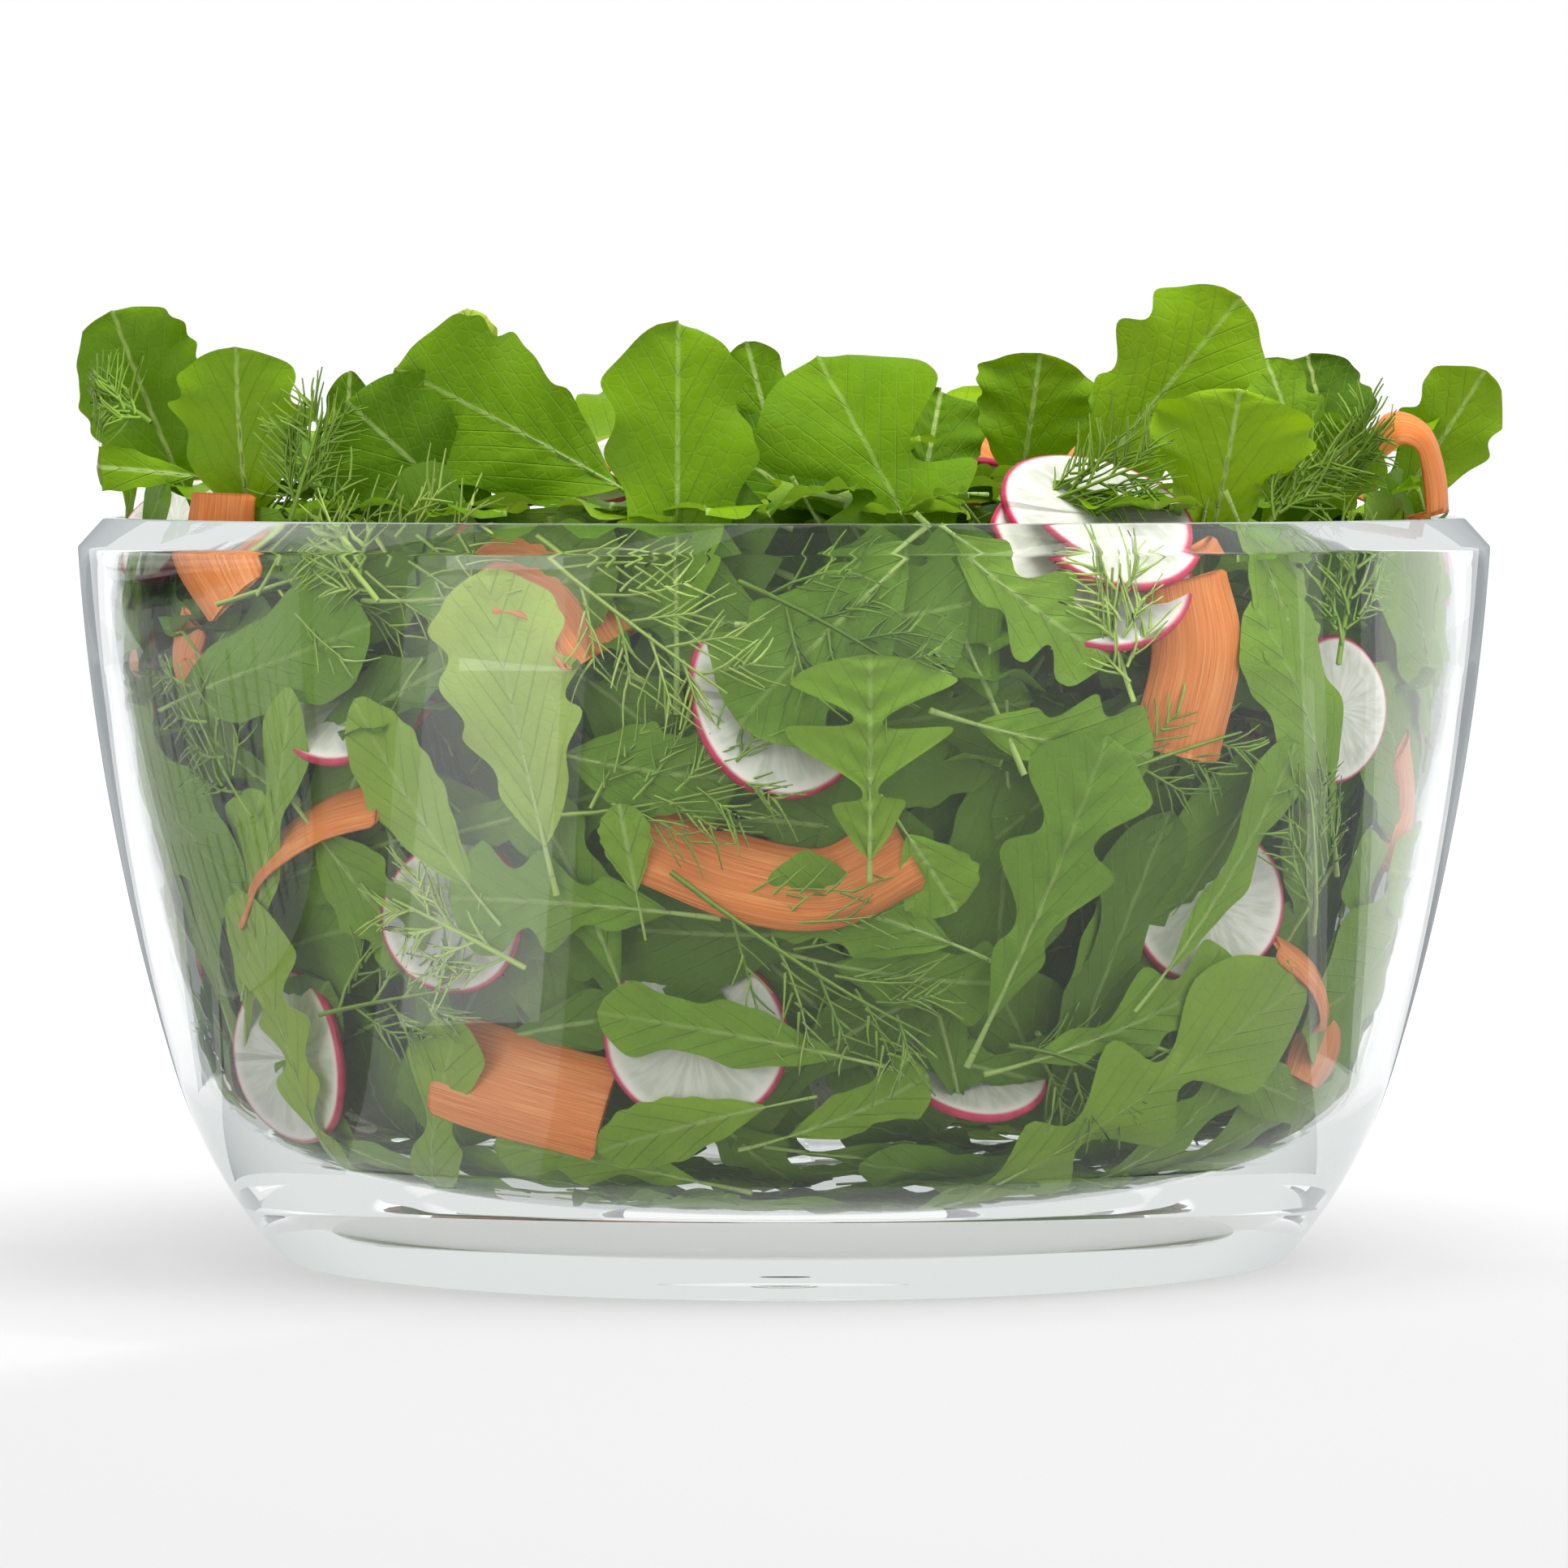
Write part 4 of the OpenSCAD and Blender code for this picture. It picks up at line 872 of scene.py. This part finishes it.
# Slices seen from the front: x, z, radius, depth behind the glass, and the way the cut face turns
for x, z, radius, depth, face in (
    (-82, 108, 17, 4, (-0.45, -0.75, 0.9)),
    (-1, 109, 17.5, 5.5, (0.35, -1, 0.35)),
    (102, 107, 13.5, 2, (0.75, -0.7, 0)),
    (-59, 71, 14, 7, (-0.4, -1, 0)),
    (78, 72, 15.5, 5, (0.5, -1, 0.1)),
    (-16, 49, 16.5, 5, (-0.1, -1, 0.15)),
    (37, 40, 15, 5, (0.2, -0.55, 0.95)),
    (-92, 42, 17, 3, (-0.8, -0.6, -0.1)),
    (60, 141, 18.5, 9, (0.25, -0.6, 0.8)),
    (57, 133, 18.5, 6, (0.3, -0.75, 0.6)),
    (-119, 139, 13, 8, (-0.5, -0.6, 0.7)),
):
    radish(behind_glass(x, z, depth), radius, face)
# Slices round the back of the wall, and on top
for i in range(26):
    around, z = round_the_back(i, 20, 118)
    middle, radius = on_wall(around, z, rng.uniform(4, 8)), rng.uniform(13, 19)
    radish(middle, radius, (math.cos(around), math.sin(around), rng.uniform(-0.5, 0.8)))
for i in range(9):
    around, r = i * GOLDEN_ANGLE, 30 + 9 * i
    middle = (r * math.cos(around), abs(r * math.sin(around)), 150 + rng.uniform(-2, 6))
    radish(middle, rng.uniform(13, 18), (rng.uniform(-0.5, 0.5), rng.uniform(-0.6, 0.5), 1))
radish_heap.build("radish_slices", radish_finish)

# ---- Carrot ribbons ----
# Long thin shavings off a peeler, as wide as the carrot, that curl as they dry. The grain runs lengthwise.
CARROT_T = 1.1
carrot_heap = Heap()


def ribbon(places, width, face, curl=0.12, rows=36):
    """A shaving that runs through places; face is the way its flat side turns, at its start and end."""
    places = np.array(places, float)
    knots = np.vstack([2 * places[0] - places[1], places, 2 * places[-1] - places[-2]])
    t = np.linspace(0, len(places) - 1 - 1e-6, rows)
    k = t.astype(int)
    f = (t - k)[:, None]
    a, b, c, d = (knots[k + i] for i in range(4))
    spine = 0.5 * (
        2 * b + (c - a) * f + (2 * a - 5 * b + 4 * c - d) * f**2 + (3 * b - a - 3 * c + d) * f**3
    )
    way = unit(np.gradient(spine, axis=0))
    start, end = (unit(np.array(v, float)) for v in face)
    blend = np.linspace(0, 1, rows)[:, None]
    facing = unit(start * (1 - blend) + end * blend)
    side = unit(np.cross(way, facing))
    up = np.cross(side, way)
    # The section's outline, across and up
    s = np.array([-1, -0.6, -0.2, 0.2, 0.6, 1])
    h = np.array([0.25, 0.5, 0.5, 0.5, 0.5, 0.25]) * CARROT_T
    s, h = np.concatenate([s, s[::-1]]), np.concatenate([h, -h])
    narrow = np.minimum(1, 0.86 + 5 * np.minimum(blend, 1 - blend))
    waver = 1 + 0.03 * np.sin(t * 3 + rng.uniform(0, 6))[:, None]
    across = s[None, :] * width / 2 * narrow * waver
    lift = h[None, :] - curl * across**2 / width * 2
    points = spine[:, None] + side[:, None] * across[..., None] + up[:, None] * lift[..., None]
    marks = marked(blend * np.linalg.norm(places[-1] - places[0]) / 40, across / 10 + 2, rng.random())
    carrot_heap.add(points, grid_faces(rows, len(s), True), marks)
    ends = np.array([[0, 1, 10, 11], [1, 2, 9, 10], [2, 3, 8, 9], [3, 4, 7, 8], [4, 5, 6, 7]])
    last = ends[:, ::-1] + (rows - 1) * len(s)
    carrot_heap.faces.append(np.concatenate([ends, last]) + carrot_heap.count - rows * len(s))


carrot_finish, tree, shader = new_material("carrot", Roughness=0.38, Specular_IOR_Level=0.45)
along, across, shade = read_marks(tree)
fibres = streaks(tree, 4.0, maths(tree, "MULTIPLY", along, 3.0), maths(tree, "MULTIPLY", across, 40.0), shade)
oranges = [(0.3, (0.68, 0.17, 0.022)), (0.5, (0.82, 0.26, 0.05)), (0.7, (0.90, 0.39, 0.12))]
orange = ramp(tree, fibres, *oranges)
tree.links.new(orange, shader.inputs["Base Color"])
bump(tree, shader, fibres, 0.00015)
lit_through(tree, shader, orange, 0.25)

# Ribbons seen from the front: places (x, z), depth behind the glass, width, and how the flat side turns
for places, depth, width, face in (
    (((-104, 147), (-104, 138), (-99, 128)), 4, 15, ((-0.6, -1, 0.5), (-0.6, -1, 0))),
    (((-62, 124), (-52, 134), (-40, 132), (-31, 120)), 6, 19, ((-0.6, -0.8, 0.8), (0.2, -0.9, 0.5))),
    (((72, 132), (74, 118), (70, 100)), 4, 18, ((0.6, -1, 0.6), (0.4, -1, -0.3))),
    (((-72, 92), (-84, 88), (-94, 80), (-98, 70)), 4, 11, ((-0.3, -1, 0.8), (-1, -0.2, 0.6))),
    (((-26, 86), (-8, 79), (8, 77), (22, 84)), 4, 15, ((-0.3, -1, 0.3), (0.3, -1, 0.1))),
    (((88, 66), (97, 58), (99, 48), (95, 38)), 3, 12, ((0.3, -0.6, 1), (1, -0.6, 0.2))),
    (((-62, 44), (-48, 40), (-32, 36)), 4, 19, ((-0.4, -1, 0.3), (0, -1, 0.1))),
    (((114, 100), (116, 88), (112, 76)), 4, 9, ((1, -0.6, 0), (1, -0.6, 0))),
    (((-108, 124), (-110, 116), (-104, 110)), 6, 10, ((-1, -0.6, 0), (-1, -0.6, 0))),
):
    ribbon([behind_glass(x, z, depth) for x, z in places], width, face)
# The one that arches over the rim, then ribbons round the back of the wall, and on top
arch = [(108, -62, 155), (113, -64, 160), (119, -62, 158), (122, -58, 150), (123, -54, 140)]
ribbon(arch, 9, ((0.2, -0.5, 1), (0.9, -0.5, 0.1)), curl=0.3)
for i in range(22):
    around, z = round_the_back(i, 24, 108)
    places = [on_wall(around + 0.14 * k, z + rng.uniform(-9, 9), rng.uniform(3, 8)) for k in range(4)]
    outwards = (math.cos(around), math.sin(around), rng.uniform(-0.6, 0.6))
    ribbon(places, rng.uniform(12, 18), (outwards, outwards))
for i in range(8):
    around, r = 0.7 + i * GOLDEN_ANGLE, 25 + 10 * i
    x, y = r * math.cos(around), abs(r * math.sin(around))
    places = [(x + 14 * k, y + rng.uniform(-8, 8), 152 + 7 * math.sin(1.6 * k)) for k in range(4)]
    ribbon(places, rng.uniform(11, 16), ((0, -0.3, 1), (0.3, -0.2, 1)), curl=0.2)
carrot_heap.build("carrot_ribbons", carrot_finish)

# ---- Dill ----
# Feathery sprigs: a stem with side stems, each ending in a spray of threads finer than a millimetre.
dill_heap = Heap()


def along_curve(base, middle, tip, t):
    """Points on the curve from base to tip that bends towards middle."""
    t = t[:, None]
    return (1 - t) ** 2 * base + 2 * t * (1 - t) * middle + t**2 * tip


def sprig(base, tip, face, spread=0.5, sides=9, shade=0.5):
    """A sprig from its cut end to its tip, fanned out in the plane that faces face."""
    base, tip = np.array(base, float), np.array(tip, float)
    length = np.linalg.norm(tip - base)
    face = unit(np.array(face, float))

    def thread(start, way, reach, radius, rings=4):
        bend = np.array([rng.uniform(-1, 1) for _ in range(3)]) * reach * 0.12
        bend = bend + face * reach * rng.uniform(-0.05, 0.1)
        t = np.linspace(0, 1, rings)
        points = along_curve(start, start + way * reach / 2 + bend, start + way * reach, t)
        marks = marked(t, 0.0, shade + rng.uniform(-0.15, 0.15))
        tube(dill_heap, points, np.linspace(radius, radius * 0.45, rings), 3, marks)
        return points[-1]

    axis = unit(tip - base)
    side = np.cross(axis, face)
    thread(base, axis, length, 0.62, 7)
    for i in range(sides):
        at = 0.15 + 0.8 * i / sides
        hand = 1 if i % 2 else -1
        angle = hand * (spread + rng.uniform(0, 0.35))
        way = axis * math.cos(angle) + side * math.sin(angle) + face * rng.uniform(-0.15, 0.25)
        reach = length * (0.46 - 0.3 * at) * rng.uniform(0.8, 1.2)
        start = base + axis * length * at
        thread(start, way, reach, 0.42)
        for j in range(9):
            share = 0.25 + 0.75 * j / 8
            fan = angle + (1 if j % 2 else -1) * rng.uniform(0.3, 0.8)
            fine = axis * math.cos(fan) + side * math.sin(fan) + face * rng.uniform(-0.35, 0.35)
            thread(start + way * reach * share, fine, rng.uniform(5.0, 9.5), 0.33)


dill_finish, tree, shader = new_material("dill", Roughness=0.5)
shade = read_marks(tree)[2]
greens = [(0.0, (0.05, 0.12, 0.004)), (0.5, (0.20, 0.34, 0.03)), (1.0, (0.46, 0.58, 0.14))]
tree.links.new(ramp(tree, shade, *greens), shader.inputs["Base Color"])
tree.links.new(span(tree, noise(tree, 300.0), 0.3, 0.7, 0.4, 0.6), shader.inputs["Roughness"])

# Sprigs seen from the front: cut end and tip (x, z), depth behind the glass, side stems, shade
for (x1, z1), (x2, z2), depth, sides, shade_at in (
    ((-112, 168), (-126, 140), 22, 6, 0.3),
    ((-82, 160), (-92, 138), 14, 6, 0.35),
    ((-102, 127), (-52, 138), 1.6, 10, 0.7),
    ((-72, 128), (-84, 140), 1.6, 6, 0.6),
    ((-44, 138), (-10, 112), 1.6, 9, 0.75),
    ((-8, 132), (24, 114), 1.8, 7, 0.3),
    ((62, 110), (58, 134), 1.5, 7, 0.75),
    ((-40, 90), (-2, 98), 1.6, 8, 0.5),
    ((-20, 80), (26, 50), 1.6, 10, 0.5),
    ((-84, 52), (-58, 58), 1.6, 7, 0.45),
    ((-46, 62), (-70, 74), 1.6, 7, 0.8),
    ((-96, 88), (-110, 116), 1.6, 7, 0.35),
    ((96, 66), (94, 96), 1.6, 7, 0.4),
    ((100, 116), (104, 140), 2, 7, 0.5),
    ((40, 48), (62, 38), 3, 6, 0.3),
    ((56, 96), (82, 104), 3, 6, 0.4),
):
    base, tip = behind_glass(x1, z1, depth), behind_glass(x2, z2, depth)
    sprig(base, tip, (x1 / 130, -1, 0), sides=sides, shade=shade_at)
# Sprigs over the rim
for foot_at, tip_at in (
    ((44, -96, 144), (66, -100, 153)),
    ((96, -70, 142), (108, -78, 160)),
    ((88, -88, 140), (98, -84, 155)),
    ((-90, -90, 142), (-84, -92, 162)),
    ((-118, -54, 160), (-130, -50, 166)),
):
    sprig(foot_at, tip_at, (0, -1, 0.3), shade=0.4)
for i in range(16):
    around, z = round_the_back(i, 30, 100)
    tip_at = on_wall(around + rng.uniform(-0.3, 0.3), z + rng.uniform(-20, 20) + 4, 2)
    sprig(on_wall(around, z, 2), tip_at, (math.cos(around), math.sin(around), 0), shade=rng.uniform(0.3, 0.7))
dill_heap.build("dill_sprigs", dill_finish)

# ---- Basket ----
# Moulded white plastic, satin, with upright slots all round its wall. It turns on the bowl's nub by the
# hard cup pressed into its floor, and the drive plate's lugs drop into the notches of its rim.


def show(node, finish):
    """Gives a piece carried over from the frame its finish."""
    piece = bpy.data.objects[node]
    piece.data.materials.clear()
    piece.data.materials.append(finish)
    for face_slot in piece.material_slots:
        face_slot.material = finish
    return piece


EDGE_RADIUS = 0.0004


def worn_edges(tree, radius):
    """How near a moulded edge is, 0 to 1, and the normal that rounds that edge."""
    soft = add_node(tree, "ShaderNodeBevel", {"Radius": radius}, samples=4)
    flat = add_node(tree, "ShaderNodeNewGeometry").outputs["Normal"]
    turn = add_node(tree, "ShaderNodeVectorMath", {0: soft.outputs[0], 1: flat}, operation="DOT_PRODUCT")
    return span(tree, turn.outputs["Value"], 0.995, 0.8), soft.outputs[0]


def moulded(name, low, high, roughness, grain=900.0, depth=0.00006, worn=1.12):
    """Moulded plastic or rubber: two close tones in soft clouds, a fine grain, and edges rounded and rubbed,
    where its colour is worn times as bright."""
    made, tree, shader = new_material(name)
    clouds = span(tree, noise(tree, 38.0, 3.0), 0.3, 0.7)
    colour = ramp(tree, clouds, (0.0, low), (1.0, high))
    near_edge, normal = worn_edges(tree, EDGE_RADIUS)
    rubbed = maths(tree, "MULTIPLY", near_edge, span(tree, noise(tree, 120.0, 3.0), 0.35, 0.7))
    colour = mix(tree, rubbed, colour, mix(tree, 1.0, colour, (worn, worn, worn, 1), "MULTIPLY"))
    tree.links.new(colour, shader.inputs["Base Color"])
    speckle = noise(tree, grain, 2.0)
    rough = maths(tree, "ADD", maths(tree, "MULTIPLY", speckle, 0.12), roughness - 0.06)
    rough = maths(tree, "SUBTRACT", rough, maths(tree, "MULTIPLY", rubbed, 0.08))
    tree.links.new(rough, shader.inputs["Roughness"])
    bump(tree, shader, speckle, depth)
    relief = shader.inputs["Normal"].links[0].from_node
    tree.links.new(normal, relief.inputs["Normal"])
    return made


basket_white = moulded("basket_white", (0.70, 0.71, 0.70), (0.80, 0.80, 0.785), 0.36, worn=1.08)
cup_nylon = moulded("cup_nylon", (0.62, 0.60, 0.52), (0.70, 0.68, 0.60), 0.45, grain=1500.0)
show("basket", basket_white)
show("basket_pivot", cup_nylon)
unit_low, unit_high = (np.array(corner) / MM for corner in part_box("lid_shell"))
UNIT = ((unit_low[0] + unit_high[0]) / 2 * MM, (unit_low[1] + unit_high[1]) / 2 * MM)

# ---- Lid ----
# A clear domed shell lies over a white base that plugs into the bowl. A soft ring in the base's edge seals
# against the glass, and six short screws from below hold shell and base together.
lid_clear, tree, shader = new_material(
    "lid_clear_plastic", Base_Color=(0.93, 0.955, 0.965, 1), IOR=1.46, Transmission_Weight=1.0,
    Specular_IOR_Level=0.5,
)
tree.links.new(span(tree, noise(tree, 60.0, 4.0), 0.3, 0.75, 0.02, 0.09), shader.inputs["Roughness"])
bump(tree, shader, noise(tree, 26.0, 2.0), 0.00008)
see_through(tree, shader, (0.86, 0.89, 0.9, 1))
show("lid_shell", lid_clear)

lid_white = moulded("lid_white", (0.74, 0.74, 0.735), (0.82, 0.82, 0.81), 0.32, worn=1.06)
seal_soft = moulded("seal_soft", (0.36, 0.37, 0.38), (0.44, 0.45, 0.46), 0.62, grain=700.0, depth=0.0001)
show("lid_base", lid_white)

seal_low, seal_high = (np.array(corner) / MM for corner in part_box("lid_seal"))
seal_r, seal_z, seal_h = (seal_high[0] - seal_low[0]) / 2, seal_low[2], seal_high[2] - seal_low[2]
# The lip's section from below: depth in from its crest, and height as a share of the whole
SEAL_SECTION = ((2.45, 0), (0.9, 0), (0.35, 0.25), (0, 0.42), (0, 0.58), (0.35, 0.75), (0.9, 1), (2.45, 1))
seal_line = [(seal_r - inwards, seal_z + share * seal_h) for inwards, share in SEAL_SECTION]
seal = turned("lid_seal_ring", rounded(seal_line, range(8), 0.25), seal_soft, UNIT, 240)
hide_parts("lid_seal")
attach(seal, "lid")


def brushed(name, low, high, roughness, stretch=(40.0, 40.0, 900.0)):
    """Bright steel with fine marks drawn out one way."""
    made, tree, shader = new_material(name, Metallic=1.0)
    place = add_node(tree, "ShaderNodeTexCoord").outputs["Object"]
    drawn = add_node(tree, "ShaderNodeVectorMath", {0: place, 1: stretch}, operation="MULTIPLY").outputs[0]
    marks = noise(tree, 1.0, 4.0, drawn)
    tree.links.new(ramp(tree, marks, (0.3, low), (0.7, high)), shader.inputs["Base Color"])
    tree.links.new(span(tree, marks, 0.3, 0.7, roughness - 0.08, roughness + 0.1), shader.inputs["Roughness"])
    bump(tree, shader, marks, 0.00003)
    return made


screw_steel = brushed("screw_steel", (0.45, 0.45, 0.46), (0.66, 0.66, 0.67), 0.24)


def recessed_screw(head_r, head_h, shank_r, length, pitch, head_down, columns=32):
    """Points and faces of a pan-head screw, its head's seat at height 0 and its tip away from the head: a
    cross is sunk into the head and a thread is rolled on the shank. head_down turns it head downwards."""
    cross_w, cross_r, sunk = 0.17 * head_r, 0.62 * head_r, 0.55 * head_h
    a = np.linspace(0, 2 * math.pi, columns, endpoint=False)
    rings = []
    for share in (0.02, 0.14, 0.24, 0.27, 0.36, 0.46, 0.56, 0.61, 0.66, 0.8, 0.92, 0.98, 1.0):
        r = share * head_r
        x, y = np.abs(r * np.cos(a)), np.abs(r * np.sin(a))
        in_cross = (np.minimum(x, y) < cross_w) & (r < cross_r)
        top = head_h * (1 - 0.3 * share**2) if share < 0.98 else head_h * 0.55
        rings.append(np.stack([r * np.cos(a), r * np.sin(a), top - sunk * in_cross], -1))
    rings.append(np.stack([head_r * np.cos(a), head_r * np.sin(a), 0 * a], -1))
    steps = int(length / pitch * 4)
    for i in range(steps + 1):
        z = -length * i / steps
        crest = 0.5 + 0.5 * np.cos(a - 2 * math.pi * z / pitch)
        taper = min(1, (length + z) / (1.2 * shank_r) + 0.25)
        r = shank_r * taper * (0.84 + 0.16 * crest * (0.05 < i / steps))
        rings.append(np.stack([r * np.cos(a), r * np.sin(a), z + 0 * a], -1))
    rings.append(np.stack([0.02 * np.cos(a), 0.02 * np.sin(a), -length - 0.1 + 0 * a], -1))
    points = np.concatenate(rings)
    faces = grid_faces(len(rings), columns, True)
    if head_down:
        points[:, 2] *= -1
        faces = faces[:, ::-1]
    return points, faces


def screw_set(name, node, body, count, ring_r, first, seat_z, head_down, *sizes):
    """Like screws round the unit's axis as one piece, standing for the node."""
    points, faces = recessed_screw(*sizes, head_down)
    all_points, all_faces = [], []
    for i in range(count):
        around = math.radians(first) + 2 * math.pi * i / count
        x, y = UNIT[0] / MM + ring_r * math.cos(around), UNIT[1] / MM + ring_r * math.sin(around)
        all_points.append(points + np.array([x, y, seat_z]))
        all_faces.append(faces + i * len(points))
    points, faces = np.concatenate(all_points) * MM, np.concatenate(all_faces)
    piece = add_mesh(name, points, faces, screw_steel, smooth=False)
    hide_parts(node)
    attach(piece, body)


screws_low, screws_high = (np.array(corner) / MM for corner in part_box("lid_screws"))
SCREW_RING, HEAD_H = 116, 1.6
screw_set(
    "lid_screws_cross", "lid_screws", "lid", 6, SCREW_RING, 30, screws_low[2] + HEAD_H, True,
    2.8, HEAD_H, 1.22, 7.2, 0.9,
)

# ---- Pump ----
# The knob slides in a fixed white housing. The nut in its tube runs down the twisted three-rib screw, and
# so turns it, and the coil spring in the housing sends the knob back up. The knob's top is a soft grip.
knob_low, knob_high = (np.array(corner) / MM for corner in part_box("pump_knob"))
grip_low, grip_high = (np.array(corner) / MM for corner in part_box("knob_grip"))
KNOB_R = (grip_high[0] - grip_low[0]) / 2
LIP_R = (knob_high[0] - knob_low[0]) / 2
LIP_Z, LIP_H, SKIRT_T, TOP_T = 176.6, 3.0, 2.4, 3.0
knob_low_z, knob_top, ceiling = knob_low[2], knob_high[2], knob_high[2] - TOP_T
grey_plastic = moulded("knob_grey", (0.052, 0.056, 0.060), (0.072, 0.076, 0.082), 0.42, worn=1.7)
grip_soft = moulded(
    "grip_soft", (0.020, 0.021, 0.023), (0.034, 0.035, 0.038), 0.7, grain=1300.0, depth=0.00012, worn=1.6
)
moving_nylon = moulded("moving_nylon", (0.62, 0.61, 0.55), (0.72, 0.71, 0.64), 0.4, grain=1500.0)
knob_line = [
    (0, ceiling), (KNOB_R - SKIRT_T, ceiling), (KNOB_R - SKIRT_T, knob_low_z), (KNOB_R, knob_low_z),
    (KNOB_R, LIP_Z), (LIP_R, LIP_Z), (LIP_R, LIP_Z + LIP_H), (KNOB_R, LIP_Z + LIP_H), (KNOB_R, knob_top),
    (0, knob_top),
]
knob = turned("pump_knob_turned", rounded(knob_line, range(1, 9), 0.55), grey_plastic, UNIT, 200)
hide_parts("pump_knob")
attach(knob, "knob")

# The grip's crown, with shallow rings for the palm and a rolled edge
grip_h = grip_high[2] - grip_low[2]
GRIP_EDGE = 1.6
RING_PITCH, RING_DEPTH = 2.6, 0.22
edge_z = grip_low[2] + grip_h / 2 - GRIP_EDGE
grip_line = [(0, grip_low[2]), (KNOB_R, grip_low[2]), (KNOB_R, edge_z)]
grip_line += arc((KNOB_R - GRIP_EDGE, edge_z), GRIP_EDGE, 0, 1.25, 8)[1:]
crown_r = ((KNOB_R - GRIP_EDGE) ** 2 + (grip_h / 2) ** 2) / grip_h
for r in np.arange(KNOB_R - GRIP_EDGE - 1.0, 0.3, -0.2):
    crown_z = grip_high[2] - crown_r + math.sqrt(crown_r**2 - r**2)
    groove = max(0, math.cos(2 * math.pi * r / RING_PITCH)) ** 3 if 6 < r < KNOB_R - 5 else 0
    grip_line.append((r, crown_z - RING_DEPTH * groove))
grip_line.append((0, grip_high[2]))
grip = turned("knob_grip_turned", grip_line, grip_soft, UNIT, 200)
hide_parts("knob_grip")
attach(grip, "knob")

show("trim_ring", grey_plastic)
show("mechanism_housing", lid_white)
for node in ("plunger_tube", "drive_nut", "drive_screw"):
    show(node, moving_nylon)
show("screw_bush", cup_nylon)
washer_steel = brushed("washer_steel", (0.50, 0.50, 0.51), (0.70, 0.70, 0.71), 0.2, (90.0, 90.0, 90.0))
show("thrust_washer", washer_steel)

spring_steel = brushed("spring_steel", (0.42, 0.42, 0.44), (0.72, 0.72, 0.73), 0.18, (300.0, 300.0, 900.0))


def coil_spring(name, node, body, middle, mean_r, wire_r, bottom, top, turns, dead=0.9, sides=12):
    """A compression spring of round wire whose end coils lie flat, standing for the node."""
    n = int(turns * 40)
    t = np.linspace(0, turns, n)
    free = turns - 2 * dead
    lie = 2 * wire_r / (top - bottom)
    share = np.interp(t, [0, dead, dead + free, turns], [0, lie, 1 - lie, 1])
    z = bottom + wire_r + (top - bottom - 2 * wire_r) * share
    a = 2 * math.pi * t
    spine = np.stack([middle[0] / MM + mean_r * np.cos(a), middle[1] / MM + mean_r * np.sin(a), z], -1)
    out = np.stack([np.cos(a), np.sin(a), 0 * a], -1)
    section = np.linspace(0, 2 * math.pi, sides, endpoint=False)
    outwards, upwards = np.cos(section)[None, :, None], np.sin(section)[None, :, None]
    ring = outwards * out[:, None, :] + upwards * np.array([0, 0, 1.0])
    points = (spine[:, None, :] + wire_r * ring).reshape(-1, 3)
    faces = [*grid_faces(n, sides, True), range(sides - 1, -1, -1), range((n - 1) * sides, n * sides)]
    piece = add_mesh(name, points * MM, faces, spring_steel)
    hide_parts(node)
    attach(piece, body)
    return piece


spring_low, spring_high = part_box("return_spring")
coil = coil_spring(
    "return_spring_coil", "return_spring", "lid", UNIT, 16.6, 0.9, spring_low[2] / MM, spring_high[2] / MM, 9
)
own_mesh(coil)

screws_low, screws_high = (np.array(corner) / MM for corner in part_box("housing_screws"))
HOUSING_SCREW_RING, HEAD_H, TIP_H = 32.88, 2.0, 0.1
seat_z = screws_high[2] - HEAD_H
screw_set(
    "housing_screws_cross", "housing_screws", "lid", 4, HOUSING_SCREW_RING, 45, seat_z, False,
    2.9, HEAD_H, 1.48, seat_z - screws_low[2] - TIP_H, 1.0,
)

# ---- Drive plate and clutch ----
# The white plate hangs under the lid on a screw. Three sprung pawls on the screw's carrier catch the teeth
# inside its hub, so a stroke down spins the basket and the way back leaves it running.
clutch_grey = moulded("clutch_grey", (0.10, 0.105, 0.11), (0.15, 0.155, 0.16), 0.45, grain=1500.0, worn=1.5)
show("drive_plate", lid_white)
show("ratchet_ring", moving_nylon)
show("plate_bush", cup_nylon)
for pawl in ("pawl_1", "pawl_2", "pawl_3"):
    show(pawl, clutch_grey)
show("pawl_carrier", washer_steel)
show("pawl_springs", spring_steel)
show("axle_screw", screw_steel)
show("axle_washer", washer_steel)

# ---- Brake and lock ----
# The button presses a rubber pad on the drive plate to stop the basket, against its own coil spring. The
# slider's tongue reaches over the knob's lip and holds the knob down for storage.
show("brake_button", grey_plastic)
show("brake_pad", seal_soft)
show("knob_lock", grey_plastic)
show("lock_clip", spring_steel)
brake_low, brake_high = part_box("brake_spring")
brake_at = ((brake_low[0] + brake_high[0]) / 2, (brake_low[1] + brake_high[1]) / 2)
coil = coil_spring(
    "brake_spring_coil", "brake_spring", "lid", brake_at, 7.6, 0.6, brake_low[2] / MM, brake_high[2] / MM, 5
)
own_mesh(coil)
